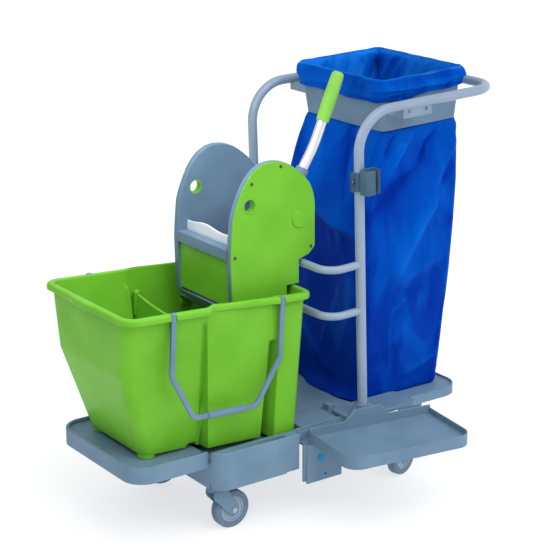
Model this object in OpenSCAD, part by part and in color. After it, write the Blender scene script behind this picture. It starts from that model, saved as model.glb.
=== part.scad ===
// Janitor cart: divided bucket with a geared press wringer, and a sack stand on a wheeled base.
// X runs from the bucket end to the sack end, -Y is the front, Z is up from the floor.

/* [Casters] */
// Wheel diameter over the tyre
wheel_d = 100; // [75:1:125]
// Tyre width
wheel_w = 26; // [20:1:32]
// Horizontal offset of the axle behind the swivel stem
caster_trail = 38; // [28:1:45]
// Diameter of the wheel axle
axle_d = 8; // [6:0.5:10]
// Diameter of the swivel stem
stem_d = 12; // [8:0.5:16]
// Stem position along the cart at the bucket end
stem_x_bucket = -471; // [-490:1:-440]
// Stem position along the cart at the sack end
stem_x_sack = 161; // [100:1:220]
// Stem distance from the middle at the bucket end
stem_y_bucket = 167; // [140:1:180]
// Stem distance from the middle at the sack end
stem_y_sack = 156; // [120:1:156]

/* [Base] */
// Left end of the bucket tray
tray_left = -720; // [-760:1:-690]
// Half width of the bucket tray
tray_half_w = 189; // [175:1:200]
// Half width of the sack deck
deck_half_w = 200; // [194:1:206]
// Corner radius of the trays in plan
deck_corner = 57; // [30:1:70]
// Height of the tray rim above the floor
deck_top = 229; // [222:1:240]
// Depth of the tray's outer skirt
tray_skirt = 44; // [34:1:50]
// Depth of the recess inside the tray rim
tray_recess = 9; // [5:0.5:12]
// Left face of the caster beam
beam_left = -512; // [-530:1:-500]
// Seam between the caster beam and the coupler
beam_seam = -302; // [-320:1:-290]
// Right face of the coupler, where the sack deck starts
beam_right = -262; // [-275:1:-255]
// Half width of the caster beam
beam_half_w = 230; // [224:1:238]
// Corner radius of the beam in plan
beam_corner = 45; // [25:1:60]
// Underside of the caster beam
beam_bottom = 131; // [128:1:138]
// Right end of the sack deck
deck_right = 305; // [295:1:330]
// Depth of the recess inside the sack deck's rim
deck_recess = 5; // [3:0.5:8]
// Depth of the sack deck's outer skirt
deck_skirt = 26; // [20:1:32]
// Wall thickness of the moulded base
base_wall = 4; // [3:0.5:6]

/* [Side tray] */
// Length of the side tray
side_tray_l = 357; // [320:1:380]
// Width of the side tray
side_tray_w = 205; // [160:1:220]
// Depth of the side tray's skirt
side_tray_h = 32; // [24:1:40]
// Corner radius at the tray's front edge
side_tray_corner = 40; // [20:1:60]
// Turn of the side tray in plan
side_tray_yaw = 8; // [6:0.5:9]
// Height of the hook tab above the tray rim
side_tab_h = 36; // [24:1:44]

/* [Push frame] */
// Outer diameter of the push frame tube
tube_d = 25; // [22:0.5:28]
// Wall thickness of the push frame tube
tube_wall = 1.5; // [1:0.25:2.5]
// Post position along the cart at the foot
post_x = -60; // [-75:1:-45]
// Post distance from the middle
post_y = 227; // [222:1:232]
// Top of the post foot boss
foot_top = 265; // [255:1:280]
// Backward lean of the whole frame
frame_lean = 2; // [0:0.5:3]
// Height of the rail above the foot, along the post
rail_h = 758; // [720:1:800]
// Length of the rail from the post line to the handle
rail_run = 457; // [440:1:500]
// Bend radius between post and rail
post_bend = 100; // [70:1:115]
// Bend radius at the handle corners
handle_bend = 75; // [50:1:90]
// Outer diameter of the cross bars
bar_d = 20; // [16:0.5:22]
// Height of the lower cross bar above the foot
bar_low = 252; // [200:1:290]
// Height of the upper cross bar above the foot
bar_high = 374; // [365:1:380]
// Reach of the cross bars from the posts towards the bucket
bar_reach = 100; // [80:1:102]
// Bend radius of the cross bars
bar_bend = 45; // [30:1:60]
// Height of the tool clip's middle above the foot
clip_h = 593; // [450:1:640]

/* [Sack collar] */
// Collar middle, measured along the rail from the post line
collar_x = 252; // [244:1:264]
// Half length of the collar at its lower edge
collar_half_l = 126; // [110:1:130]
// Half width of the collar at its lower edge
collar_half_w = 162; // [140:1:168]
// How far each collar wall flares from its lower to its upper edge
collar_flare = 12; // [6:1:16]
// Depth of the collar below the rail
collar_drop = 78; // [60:1:90]
// Height of the collar above the rail
collar_rise = 54; // [40:1:65]
// Corner radius of the collar
collar_corner = 22; // [12:1:30]
// Wall thickness of the collar
collar_wall = 3; // [2:0.5:4]
// Depth of the sack's cuff folded over the collar
cuff_h = 54; // [40:1:56]
// Thickness of the sack's wall
sack_t = 3; // [2:0.5:5]
// How far the gathered cuff stands out from the collar
cuff_out = 12; // [6:1:16]

/* [Bucket] */
// Position of the bucket's left feet along the cart
bucket_x = -650; // [-656:1:-644]
// Lean of the bucket towards the sack end
bucket_tilt = 3; // [0:0.5:3.5]
// Height of the rim above the feet
rim_h = 385; // [360:1:400]
// Left end of the rim lip from the left feet
lip_left = -114; // [-122:1:-106]
// Right end of the rim lip from the left feet
lip_right = 436; // [425:1:437]
// Half width of the rim lip
lip_half_w = 204; // [196:1:212]
// Depth of the rim lip
lip_h = 24; // [16:1:28]
// How far the lip stands out from the wall
lip_out = 14; // [12:0.5:16]
// Wall thickness of the bucket
bucket_wall = 4; // [3:0.5:5]
// Half width of the small compartment at its bottom
small_half_w = 130; // [110:1:140]
// Half width of the large compartment at its bottom
large_half_w = 160; // [150:1:168]
// Height of the knee in the sloping end wall
knee_h = 226; // [200:1:260]
// Divider between the compartments
divider_x = 146; // [130:1:160]
// Drop of the divider's top below the rim
divider_drop = 57; // [40:1:80]
// Diameter of the bail pivot pins
bail_pin_d = 8; // [6:0.5:9]
// First bail pivot from the left feet
bail_x0 = 21; // [10:1:40]
// Second bail pivot from the left feet
bail_x1 = 337; // [326:1:345]
// Drop of the hanging bail below its pivots
bail_drop = 265; // [220:1:280]
// Bend radius of the bail
bail_bend = 24; // [16:1:28]
// Diameter of the bail's round grip
bail_grip_d = 18; // [15:0.5:20]

/* [Wringer] */
// Middle of the arched side plates along the cart
arch_x = -275; // [-280:1:-270]
// Middle of the arch above the floor
arch_z = 778; // [770:1:790]
// Radius of the arch
arch_r = 134; // [130:1:138]
// Inner face of the side housings from the middle
housing_y = 110; // [105:1:116]
// Depth of the side housings
housing_t = 16; // [15:0.5:19]
// Thickness of the side covers
cover_t = 3; // [2:0.5:4]
// Underside of the wringer inside the bucket
wringer_bottom = 500; // [490:1:512]
// Lever pivot along the cart
pivot_x = -191; // [-194:1:-189]
// Lever pivot above the floor
pivot_z = 754; // [750:1:760]
// Jaw pivot along the cart
jaw_x = -238; // [-242:1:-236]
// Jaw pivot above the floor
jaw_z = 668; // [662:1:672]
// Length of the jaw below its pivot
jaw_l = 148; // [120:1:150]
// Diameter of the lever shaft
lever_shaft_d = 16; // [12:0.5:18]
// Diameter of the jaw shaft
jaw_shaft_d = 12; // [9:0.5:14]
// Teeth of the lever gear
lever_teeth = 18; // [18:1:18]
// Teeth of the jaw gear, counted round a full circle
jaw_teeth = 30; // [30:1:30]
// Pressure angle of the teeth
pressure_angle = 22; // [20:0.5:25]
// Diameter of the finger hole in the side covers
finger_d = 32; // [24:1:36]

/* [Lever] */
// Diameter of the lever tube
lever_d = 26; // [22:0.5:28]
// Diameter of the grip at its middle
grip_d = 35; // [33:0.5:38]
// Length of the grip
grip_l = 130; // [100:1:150]
// Lean of the lever's lower part from upright
lever_lean_low = 33.5; // [30:0.5:38]
// Lean of the lever's upper part from upright
lever_lean_high = 23; // [20:0.5:28]
// Length of the lower part from its socket to the bend
lever_low_l = 100; // [80:1:120]
// Length of the upper part from the bend to the end of the grip
lever_high_l = 195; // [180:1:220]
// Bend radius of the lever tube
lever_bend = 320; // [150:10:400]

/* [Hidden] */
$fn = 64;
hull_fn = 32;

// Clearances: a running shaft, and two pieces that only lie against each other
run_gap = 0.05;
rest_gap = 0.3;
eps = 0.01;

grey = "lightslategray";
green = "yellowgreen";

// Casters
wheel_r = wheel_d / 2;
race_t = 4;
crown_top = beam_bottom - race_t - rest_gap;
crown_t = 18;
crown_r = 26;
stem_head_t = 6;
stem_up = 34;
hub_r = wheel_r * 0.68;
hub_w = wheel_w - 2;
cheek_gap = 2.5;
cheek_t = 5;
cheek_y = wheel_w / 2 + cheek_gap;
axle_l = 2 * (cheek_y + cheek_t);
// Place of each stem and the heading of its wheel
front_left = [stem_x_bucket, -stem_y_bucket, 0];
back_left = [stem_x_bucket, stem_y_bucket, -10];
front_right = [stem_x_sack, -stem_y_sack, 196];
back_right = [stem_x_sack, stem_y_sack, 165];
casters = [front_left, back_left, front_right, back_right];

// Base
tray_floor = deck_top - tray_recess;
foot_r = 14;
foot_left_x = foot_r + 4;
foot_right_x = 391;
bucket_z = tray_floor + (foot_left_x + foot_r) * sin(bucket_tilt) + rest_gap;
well_floor = bucket_z - (foot_right_x + foot_r) * sin(bucket_tilt) - rest_gap;
well_right = bucket_x + lip_right - lip_out - 4;
deck_floor = deck_top - deck_recess;
rim_w = 9;
deck_rim_w = 5;
rib_t = 3;
beam_top = deck_top + 1;
well_half_w = 196;
coupler_inset = 2;
pod_r = 32;
foot_boss_r = tube_d / 2 + 8.5;
foot_plate_t = 8;
foot_rib_l = 20;
foot_rib_h = 28;
foot_x0 = post_x - 48;
foot_x1 = post_x + 171;
foot_in_y = 150;
foot_out_y = post_y + foot_boss_r;
post_insert = foot_top - deck_top - 4;

// Side tray, placed by its back left corner
side_x = beam_right + 30;
side_y = -(beam_half_w + 2);
side_tray_floor = 15;
side_wall = 3.5;
side_back_rise = 8;
side_tab_l = 132;
bracket_l = 110;
bracket_t = 6;
bracket_h = 105;
bracket_y = -(beam_half_w + 14);
tray_under = deck_top - side_tray_h;

plug_d = 16;
plug_l = 5;
bracket_hole_d = 6;

// Tool clip and collar brackets on the push frame
clip_w = 46;
clip_d = 32;
clip_t = 4;
clip_len = 62;
clip_slot = 12;
clip_screw_d = 5;
clip_plate_l = 92;
clip_plate_h = 26;
clip_plate_x = collar_x - 72;

// Sack between the collar and the deck
sack_top = foot_top + (rail_h - collar_drop) * cos(frame_lean) + collar_x * sin(frame_lean) - 6;
sack_neck = 14;
sack_bottom = deck_floor + rest_gap;
sack_mid = post_x + collar_x - (rail_h - collar_drop) * sin(frame_lean) + 4;

// Bucket, measured from its left feet
wall_half_w = lip_half_w - lip_out;
wall_left = lip_left + lip_out;
wall_right = lip_right - lip_out;
wall_right_low = wall_right - 8;
bucket_bottom = 8;
knee_x = wall_left + 10;
small_left = -12;
panel_x0 = 121;
panel_x0_low = 158;
panel_x1 = 312;
pillar_x0 = 338;
core_right = pillar_x0 + 40;
slot_top = 275;
knee_half_w = small_half_w + (wall_half_w - small_half_w) * knee_h / rim_h;
corner_top = 40;
corner_low = 24;
lip_t = 3;
spout_out = 6;
spout_r = 60;
bail_w = 13;
bail_t = 11;
bail_y = lip_half_w - bail_t / 2;
bail_z = rim_h - bail_t / 2 - 1;
bail_notch = bail_w + 2;
bail_waist = 150;
bail_shift = 66;
bail_grip_l = 104;

// Wringer
housing_out = housing_y + housing_t;
cover_out = housing_out + cover_t;
housing_floor_t = 4;
plate_edge = 3.5;
gear_t = housing_t - housing_floor_t - 2;
gear_y = housing_y + housing_floor_t + 1;
gear_distance = norm([jaw_x - pivot_x, jaw_z - pivot_z]);
gear_module = 2 * gear_distance / (lever_teeth + jaw_teeth);
gear_backlash = 0.12;
jaw_direction = atan2(jaw_z - pivot_z, jaw_x - pivot_x);
cap_r = 22;
cap_t = 4;
// Where the housings stand on the leaning rim, and the ledges under the drain tray
rim_z = bucket_z + rim_h * cos(bucket_tilt) - (lip_right - 50) * sin(bucket_tilt) + rest_gap;
wringer_right = bucket_x + (wall_right_low - bucket_wall) * cos(bucket_tilt)
    + (wringer_bottom + 8 - bucket_z) * sin(bucket_tilt) - 2;
ledge_x0 = arch_x - arch_r + 57;
ledge_l = 26;
ledge_h = 18;
ledge_at = (wringer_bottom - bucket_z) / rim_h;
ledge_y = large_half_w + (wall_half_w - large_half_w) * ledge_at - bucket_wall;
ledge_w = 12;
sleeve_t = 3;
finger_x = arch_x - 66;
finger_z = arch_z + 32;
crossbar_x0 = arch_x - arch_r + 10;
crossbar_x1 = crossbar_x0 + 30;
crossbar_z = arch_z - 102;
crossbar_h = 28;
strainer_t = 6;
strainer_rise = 26;
strainer_pitch_y = 24;
strainer_pitch_z = 26;
splash_h = 122;
wringer_floor = wringer_bottom + 8;
jaw_rest = [jaw_x, jaw_z];
notch_x = pivot_x + 1;
screw_spots = [
    [arch_x + 27, arch_z + 118], [arch_x - 60, arch_z + 86],
    [arch_x - 111, arch_z - 92], [arch_x + 120, arch_z - 100]
];
screw_d = 4;

// Lever
socket_r = lever_d / 2 + 4;
lever_y = -(housing_y - socket_r - 3);
socket_x = pivot_x + 14;
socket_z = pivot_z + 78;
socket_l = 46;
socket_floor = 8;
grip_end_t = 12;
bend_x = socket_x + (lever_low_l + socket_floor) * sin(lever_lean_low);
bend_z = socket_z + (lever_low_l + socket_floor) * cos(lever_lean_low);
bend_turn = lever_lean_low - lever_lean_high;
bend_trim = lever_bend * tan(bend_turn / 2);
bend_lap = 1;
bend_swell = 0.2;

// The origin is the middle of the cart's outline, on the floor
x_min = bucket_x + (lip_left - spout_out) * cos(bucket_tilt) + (rim_h - lip_h) * sin(bucket_tilt);
x_max = post_x + rail_run * cos(frame_lean) - rail_h * sin(frame_lean) + tube_d / 2;
y_max = foot_out_y;
y_min = side_y - (side_tray_l - side_tray_corner) * sin(side_tray_yaw)
    - (side_tray_w - side_tray_corner) * cos(side_tray_yaw) - side_tray_corner;
mid_x = (x_min + x_max) / 2;
mid_y = (y_min + y_max) / 2;

module cart() {
    translate([-mid_x, -mid_y, 0]) children();
}

// Frame that leans back as one piece, from the post feet
module in_frame() {
    translate([post_x, 0, foot_top]) rotate([0, -frame_lean, 0]) children();
}

module in_bucket() {
    translate([bucket_x, 0, bucket_z]) rotate([0, bucket_tilt, 0]) children();
}

// Turns a drawing in X and Z into a plate between two Y values
module plate(y0, y1) {
    translate([0, y1, 0]) rotate([90, 0, 0]) linear_extrude(y1 - y0) children();
}

module rod(d, y0, y1) {
    translate([0, y0, 0]) rotate([-90, 0, 0]) cylinder(d = d, h = y1 - y0);
}

// Plan outline with its own corner radius at each end
module outline(x0, x1, half_w, r0, r1) {
    translate([x0 + r0, -half_w]) square([x1 - x0 - r0 - r1, 2 * half_w]);
    for (end = [[x0, r0, 1], [x1, r1, -1]]) {
        r = end[1];
        if (r > 0) {
            translate([min(end[0], end[0] + end[2] * r), -half_w + r]) square([r, 2 * (half_w - r)]);
            for (y = [-1, 1]) translate([end[0] + end[2] * r, y * (half_w - r)]) circle(r);
        }
    }
}

module slab(x0, x1, half_w, r0, r1, z0, z1) {
    translate([0, 0, z0]) linear_extrude(z1 - z0) outline(x0, x1, half_w, r0, r1);
}

// Thin slice used as a step of a lofted shell
module slice(x0, x1, half_w, r, z) {
    translate([0, 0, z - eps]) linear_extrude(2 * eps) outline(x0, x1, half_w, r, r, $fn = hull_fn);
}

// Two circles joined by their common tangents
module link(p, pr, q, qr) {
    span = q - p;
    along = atan2(span[1], span[0]);
    swing = acos((pr - qr) / norm(span));
    translate(p) circle(pr);
    translate(q) circle(qr);
    polygon([
        p + pr * [cos(along + swing), sin(along + swing)],
        q + qr * [cos(along + swing), sin(along + swing)],
        q + qr * [cos(along - swing), sin(along - swing)],
        p + pr * [cos(along - swing), sin(along - swing)]
    ]);
}

module bucket_tray() cart() color(grey) {
    z0 = deck_top - tray_skirt;
    difference() {
        slab(tray_left, beam_left, tray_half_w, deck_corner, 0, z0, deck_top);
        slab(tray_left + rim_w, beam_left + eps, tray_half_w - rim_w, deck_corner - rim_w, 0,
            tray_floor, deck_top + eps);
        slab(tray_left + base_wall, beam_left - base_wall, tray_half_w - base_wall,
            deck_corner - base_wall, 0, z0 - eps, tray_floor - base_wall);
    }
    for (y = [-tray_half_w / 2, 0, tray_half_w / 2])
        translate([tray_left + base_wall - eps, y - rib_t / 2, z0 + rim_w])
            cube([beam_left - tray_left - 2 * base_wall + 2 * eps, rib_t, tray_skirt - tray_recess
                - base_wall - rim_w + eps]);
}

module stem_bores(spots, z0, z1) {
    for (s = spots) translate([s[0], s[1], z0]) cylinder(d = stem_d, h = z1 - z0);
}

module caster_beam() cart() color(grey) {
    difference() {
        union() {
            difference() {
                slab(beam_left, beam_seam, beam_half_w, beam_corner, 0, beam_bottom, beam_top);
                slab(beam_left + base_wall, beam_seam - base_wall, beam_half_w - base_wall,
                    beam_corner - base_wall, 0, beam_bottom - eps, well_floor - base_wall);
                translate([beam_left - eps, -well_half_w, well_floor])
                    cube([beam_seam - beam_left + 2 * eps, 2 * well_half_w, beam_top]);
            }
            for (s = [front_left, back_left])
                translate([s[0], s[1], beam_bottom]) cylinder(r = pod_r, h = well_floor - beam_bottom);
            for (y = [-1, 1])
                translate([beam_left + base_wall - eps, y * well_half_w / 2, beam_bottom + rim_w])
                cube([beam_seam - beam_left - 2 * base_wall + 2 * eps,
                    rib_t, well_floor - base_wall - beam_bottom
                    - rim_w + eps]);
        }
        stem_bores([front_left, back_left], beam_bottom - eps, beam_bottom + stem_up);
    }
}

module beam_coupler() cart() color(grey) {
    half_w = beam_half_w - coupler_inset;
    difference() {
        slab(beam_seam, beam_right, half_w, 0, 0, beam_bottom + coupler_inset, beam_top - coupler_inset);
        translate([beam_seam - eps, -well_half_w, well_floor])
            cube([beam_right - beam_seam + 2 * eps, 2 * well_half_w, beam_top]);
        translate([beam_seam + base_wall, base_wall - half_w, beam_bottom])
            cube([beam_right - beam_seam - 2 * base_wall, 2 * (half_w - base_wall),
                well_floor - base_wall - beam_bottom]);
    }
}

module sack_deck() cart() color(grey) {
    z0 = deck_top - deck_skirt;
    block_x = post_x - 46;
    difference() {
        union() {
            difference() {
                slab(beam_right, deck_right, deck_half_w, 0, deck_corner, z0, deck_top);
                slab(well_right + base_wall, deck_right - deck_rim_w, deck_half_w - deck_rim_w, 0,
                    deck_corner - deck_rim_w, deck_floor, deck_top + eps);
                slab(beam_right + base_wall, deck_right - base_wall, deck_half_w - base_wall, 0,
                    deck_corner - base_wall, z0 - eps, deck_floor - base_wall);
                translate([beam_right - eps, -well_half_w, well_floor])
                    cube([well_right - beam_right, 2 * well_half_w, deck_top]);
            }
            // Pocket under the bucket's lower end
            translate([beam_right, -well_half_w - base_wall, well_floor - base_wall])
                cube([well_right - beam_right + base_wall, 2 * (well_half_w + base_wall), base_wall]);
            translate([well_right - eps, -well_half_w - base_wall, well_floor - base_wall])
                cube([base_wall, 2 * (well_half_w + base_wall), deck_floor - well_floor + base_wall]);
            for (s = [front_right, back_right])
                translate([s[0], s[1], beam_bottom])
                    cylinder(r = pod_r, h = deck_floor - beam_bottom - eps);
            for (y = [-deck_half_w / 2, 0, deck_half_w / 2])
                translate([well_right, y - rib_t / 2, z0 + rib_t])
                    cube([deck_right - well_right - base_wall + eps,
                        rib_t, deck_skirt - deck_recess - rib_t - eps]);
            for (side = [-1, 1], step = [0, 1])
                translate([block_x + 22 * step, side * (foot_in_y - 18) - 13, deck_floor - eps])
                    cube([18, 26, 18 - 7 * step]);
        }
        stem_bores([front_right, back_right], beam_bottom - eps, beam_bottom + stem_up);
    }
}

// Moulded foot that carries a post at the edge of the deck
module post_foot(side) {
    plate_r = 22;
    half_w = (foot_out_y - foot_in_y) / 2;
    difference() {
        union() {
            translate([0, side * (foot_in_y + half_w), 0])
                slab(foot_x0, foot_x1, half_w, plate_r, plate_r, deck_top, deck_top + foot_plate_t);
            translate([post_x, side * post_y, deck_top]) cylinder(r = foot_boss_r, h = foot_top - deck_top);
            for (turn = [0, 180]) translate([post_x, side * post_y, deck_top + foot_plate_t - eps])
                rotate([90, 0, turn]) translate([0, 0, -rib_t / 2]) linear_extrude(rib_t)
                    polygon([
                        [foot_boss_r - 1, 0], [foot_boss_r + foot_rib_l, 0], [foot_boss_r - 1, foot_rib_h]
                    ]);
        }
        translate([0, side * post_y, 0]) in_frame() translate([0, 0, -post_insert])
            cylinder(d = tube_d, h = 2 * post_insert);
    }
}

module post_foot_front() cart() color(grey) post_foot(-1);
module post_foot_back() cart() color(grey) post_foot(1);

module in_side_tray() {
    translate([side_x, side_y, 0]) rotate([0, 0, -side_tray_yaw]) children();
}

// Side tray outline, square at its back edge and round at the front
module side_outline(inset) {
    rotate(-90) translate([0, side_tray_l / 2])
        outline(inset, side_tray_w - inset, side_tray_l / 2 - inset, 0, side_tray_corner - inset);
}

module side_tray() cart() color(grey) in_side_tray() {
    tab_mid = side_tray_l * 0.46;
    difference() {
        translate([0, 0, tray_under]) linear_extrude(side_tray_h) side_outline(0);
        translate([0, 0, deck_top - side_tray_floor])
            linear_extrude(side_tray_floor + eps) side_outline(side_wall);
        translate([0, 0, tray_under - eps])
            linear_extrude(side_tray_h - side_tray_floor - side_wall) side_outline(side_wall);
    }
    // Raised back wall with the hook tab
    plate(-side_wall, 0) polygon([
        [0, deck_top - eps], [side_tray_l, deck_top - eps], [side_tray_l, deck_top + side_back_rise],
        [tab_mid + side_tab_l / 2, deck_top + side_back_rise],
        [tab_mid + side_tab_l / 2 - 24, deck_top + side_tab_h],
        [tab_mid - side_tab_l / 2 + 36, deck_top + side_tab_h],
        [tab_mid - side_tab_l / 2, deck_top + side_back_rise], [0, deck_top + side_back_rise]
    ]);
    for (x = [side_tray_l * 0.25, side_tray_l * 0.5, side_tray_l * 0.75])
        translate([x, side_wall - side_tray_w, tray_under + side_wall])
            cube([rib_t, side_tray_w - 2 * side_wall, side_tray_h - side_tray_floor - 2 * side_wall + eps]);
}

module side_tray_bracket() cart() color(grey) {
    x0 = beam_right + 14;
    z0 = tray_under - bracket_h;
    difference() {
        union() {
            translate([x0, bracket_y, z0]) cube([bracket_l, bracket_t, bracket_h - rest_gap]);
            translate([x0 - 8, bracket_y + bracket_t, z0 + 6])
                cube([bracket_l - 12, bracket_t, bracket_h - 6 - rest_gap]);
            translate([x0, bracket_y, tray_under - bracket_t - rest_gap])
                cube([bracket_l, -deck_half_w - bracket_y, bracket_t]);
            translate([x0, -deck_half_w - bracket_t, tray_under - bracket_t - rest_gap])
                cube([bracket_l, bracket_t, deck_top - tray_under]);
        }
        translate([x0 + 42, bracket_y - eps, z0 + 62]) rod(plug_d, 0, plug_l);
        translate([x0 + 58, bracket_y - eps, z0 + 16]) rod(bracket_hole_d, 0, 2 * bracket_t + 2);
    }
}

module coding_plug() cart() color("deepskyblue") {
    translate([beam_right + 56, bracket_y, tray_under - bracket_h + 62]) {
        rod(plug_d, -eps, plug_l - eps);
        rod(plug_d + 4, -2, 0);
    }
}

module caster_stems() cart() color("silver") for (s = casters) translate([s[0], s[1], 0]) {
    translate([0, 0, crown_top - crown_t - rest_gap - stem_head_t])
        cylinder(d = stem_d + 10, h = stem_head_t);
    translate([0, 0, crown_top - crown_t - rest_gap - eps])
        cylinder(d = stem_d, h = beam_bottom + stem_up - crown_top + crown_t + rest_gap);
    translate([0, 0, beam_bottom - race_t]) cylinder(r = crown_r - 2, h = race_t);
}

module at_caster(s) {
    cart() translate([s[0], s[1], 0]) rotate([0, 0, s[2]]) children();
}

// One-piece moulded fork: round crown and two tapering cheeks
module fork(s) at_caster(s) color(grey) difference() {
    cheek_top_r = 22;
    union() {
        translate([0, 0, crown_top - crown_t]) cylinder(r = crown_r, h = crown_t);
        for (y = [-cheek_y - cheek_t, cheek_y]) plate(y, y + cheek_t)
            link([0, crown_top - cheek_top_r - 3], cheek_top_r, [caster_trail, wheel_r], axle_d / 2 + 10);
    }
    translate([0, 0, crown_top - crown_t - eps]) cylinder(d = stem_d + 2 * run_gap, h = crown_t + 1);
    translate([caster_trail, 0, wheel_r]) rod(axle_d, -axle_l, axle_l);
}

module axle(s) at_caster(s) color("silver") translate([caster_trail, 0, wheel_r]) {
    rod(axle_d, -axle_l / 2, axle_l / 2);
    for (y = [-axle_l / 2 - 2, axle_l / 2]) rod(axle_d + 6, y, y + 2);
}

module hub(s) at_caster(s) color("lightsteelblue") translate([caster_trail, 0, wheel_r]) rotate([90, 0, 0])
    rotate_extrude() difference() {
        translate([axle_d / 2 + run_gap, -hub_w / 2]) square([hub_r - axle_d / 2 - run_gap, hub_w]);
        for (y = [-1, 1]) translate([hub_r - 11, y * hub_w / 2 - 3]) square([7, 6]);
        for (y = [-1, 1]) translate([axle_d / 2 + 9, y * hub_w / 2 - 1.5])
            square([hub_r - axle_d / 2 - 24, 3]);
    }

module tyre(s) at_caster(s) color("slategray") translate([caster_trail, 0, wheel_r]) rotate([90, 0, 0])
    rotate_extrude() {
        shoulder = 5;
        translate([hub_r, -wheel_w / 2]) square([wheel_r - shoulder - hub_r, wheel_w]);
        translate([hub_r, shoulder - wheel_w / 2]) square([wheel_r - hub_r, wheel_w - 2 * shoulder]);
        for (y = [-1, 1]) translate([wheel_r - shoulder, y * (wheel_w / 2 - shoulder)]) circle(shoulder);
    }

module fork_front_left() fork(front_left);
module axle_front_left() axle(front_left);
module hub_front_left() hub(front_left);
module tyre_front_left() tyre(front_left);
module fork_back_left() fork(back_left);
module axle_back_left() axle(back_left);
module hub_back_left() hub(back_left);
module tyre_back_left() tyre(back_left);
module fork_front_right() fork(front_right);
module axle_front_right() axle(front_right);
module hub_front_right() hub(front_right);
module tyre_front_right() tyre(front_right);
module fork_back_right() fork(back_right);
module axle_back_right() axle(back_right);
module hub_back_right() hub(back_right);
module tyre_back_right() tyre(back_right);

module tube_ring(d) difference() {
    circle(d = d);
    circle(d = d - 2 * tube_wall);
}

module tube(d, l) {
    linear_extrude(l) tube_ring(d);
}

// Bend of a tube in the XY plane, a quarter turn from angle a unless said otherwise
module elbow(d, r, a, turn = 90) {
    rotate([0, 0, a]) rotate_extrude(angle = turn) translate([r, 0]) tube_ring(d);
}

module push_frame() cart() color("lightsteelblue") in_frame() {
    bar_y = post_y - handle_bend;
    for (side = [-1, 1]) {
        translate([0, side * post_y, 0]) {
            translate([0, 0, -post_insert]) tube(tube_d, post_insert + rail_h - post_bend);
            translate([post_bend, 0, rail_h - post_bend]) rotate([90, 0, 0]) elbow(tube_d, post_bend, 90);
            translate([post_bend, 0, rail_h]) rotate([0, 90, 0])
                tube(tube_d, rail_run - post_bend - handle_bend);
        }
        translate([rail_run - handle_bend, side * bar_y, rail_h])
            elbow(tube_d, handle_bend, side > 0 ? 0 : -90);
    }
    translate([rail_run, bar_y, rail_h]) rotate([90, 0, 0]) tube(tube_d, 2 * bar_y);
}

// U-shaped bar that keeps the bucket off the sack, with its ends coped to the posts
module cross_bar(h) in_frame() difference() {
    run_y = post_y - bar_bend;
    translate([0, 0, h]) {
        for (side = [-1, 1]) {
            translate([bar_bend - bar_reach, side * post_y, 0]) rotate([0, 90, 0])
                tube(bar_d, bar_reach - bar_bend);
            translate([bar_bend - bar_reach, side * run_y, 0]) elbow(bar_d, bar_bend, side > 0 ? 90 : 180);
        }
        translate([-bar_reach, run_y, 0]) rotate([90, 0, 0]) tube(bar_d, 2 * run_y);
    }
    for (side = [-1, 1]) translate([0, side * post_y, h - bar_d]) cylinder(d = tube_d, h = 2 * bar_d);
}

module lower_cross_bar() cart() color("lightsteelblue") cross_bar(bar_low);
module upper_cross_bar() cart() color("lightsteelblue") cross_bar(bar_high);

// Clip for a tool handle: a saddle on the front post and an open channel in front of it
module tool_clip() cart() color(grey) in_frame() translate([0, -post_y, clip_h]) difference() {
    saddle_r = tube_d / 2 + clip_t;
    mid_x0 = 8;
    y0 = -saddle_r - clip_d;
    union() {
        translate([0, 0, -clip_len / 2 + 4]) cylinder(r = saddle_r, h = clip_len - 14);
        translate([-saddle_r - 9, -clip_t, -clip_len / 2 + 4]) cube([saddle_r, 2 * clip_t, clip_len - 14]);
        translate([mid_x0 - clip_w / 2, y0, -clip_len / 2]) linear_extrude(clip_len) difference() {
            translate([0, clip_d / 2]) outline(0, clip_w, clip_d / 2, 8, 8);
            translate([0, clip_d / 2]) outline(clip_t, clip_w - clip_t, clip_d / 2 - clip_t, 5, 5);
            translate([clip_w * 0.62, -eps]) square([clip_slot, clip_t + 2 * eps]);
        }
        translate([mid_x0 - 10, -saddle_r - 1, -clip_len / 2 + 4]) cube([20, 6, clip_len - 14]);
    }
    translate([0, 0, -clip_len]) cylinder(d = tube_d, h = 2 * clip_len);
    translate([-saddle_r - 12, -1, -clip_len]) cube([saddle_r, 2, 2 * clip_len]);
    translate([-saddle_r - 4.5, 0, -1]) rod(clip_screw_d, -2 * clip_t, 2 * clip_t);
}

module tool_clip_screw() cart() color("silver") in_frame()
    translate([-tube_d / 2 - clip_t - 4.5, -post_y, clip_h - 1]) {
    rod(clip_screw_d, -clip_t, clip_t);
    rod(clip_screw_d + 4, -clip_t - 2, -clip_t);
}

// Lofted wall of the collar, grown outwards by a gap
module collar_loft(grow, z0, z1) {
    height = collar_drop + collar_rise;
    hull() for (z = [z0, z1]) {
        flare = collar_flare * (z + collar_drop) / height;
        translate([collar_x, 0, rail_h]) slice(-collar_half_l - flare - grow, collar_half_l + flare + grow,
            collar_half_w + flare + grow, collar_corner + grow, z);
    }
}

module sack_collar() cart() color(grey) in_frame() difference() {
    collar_loft(0, -collar_drop, collar_rise);
    collar_loft(-collar_wall, -collar_drop - 1, collar_rise + 1);
}

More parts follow.
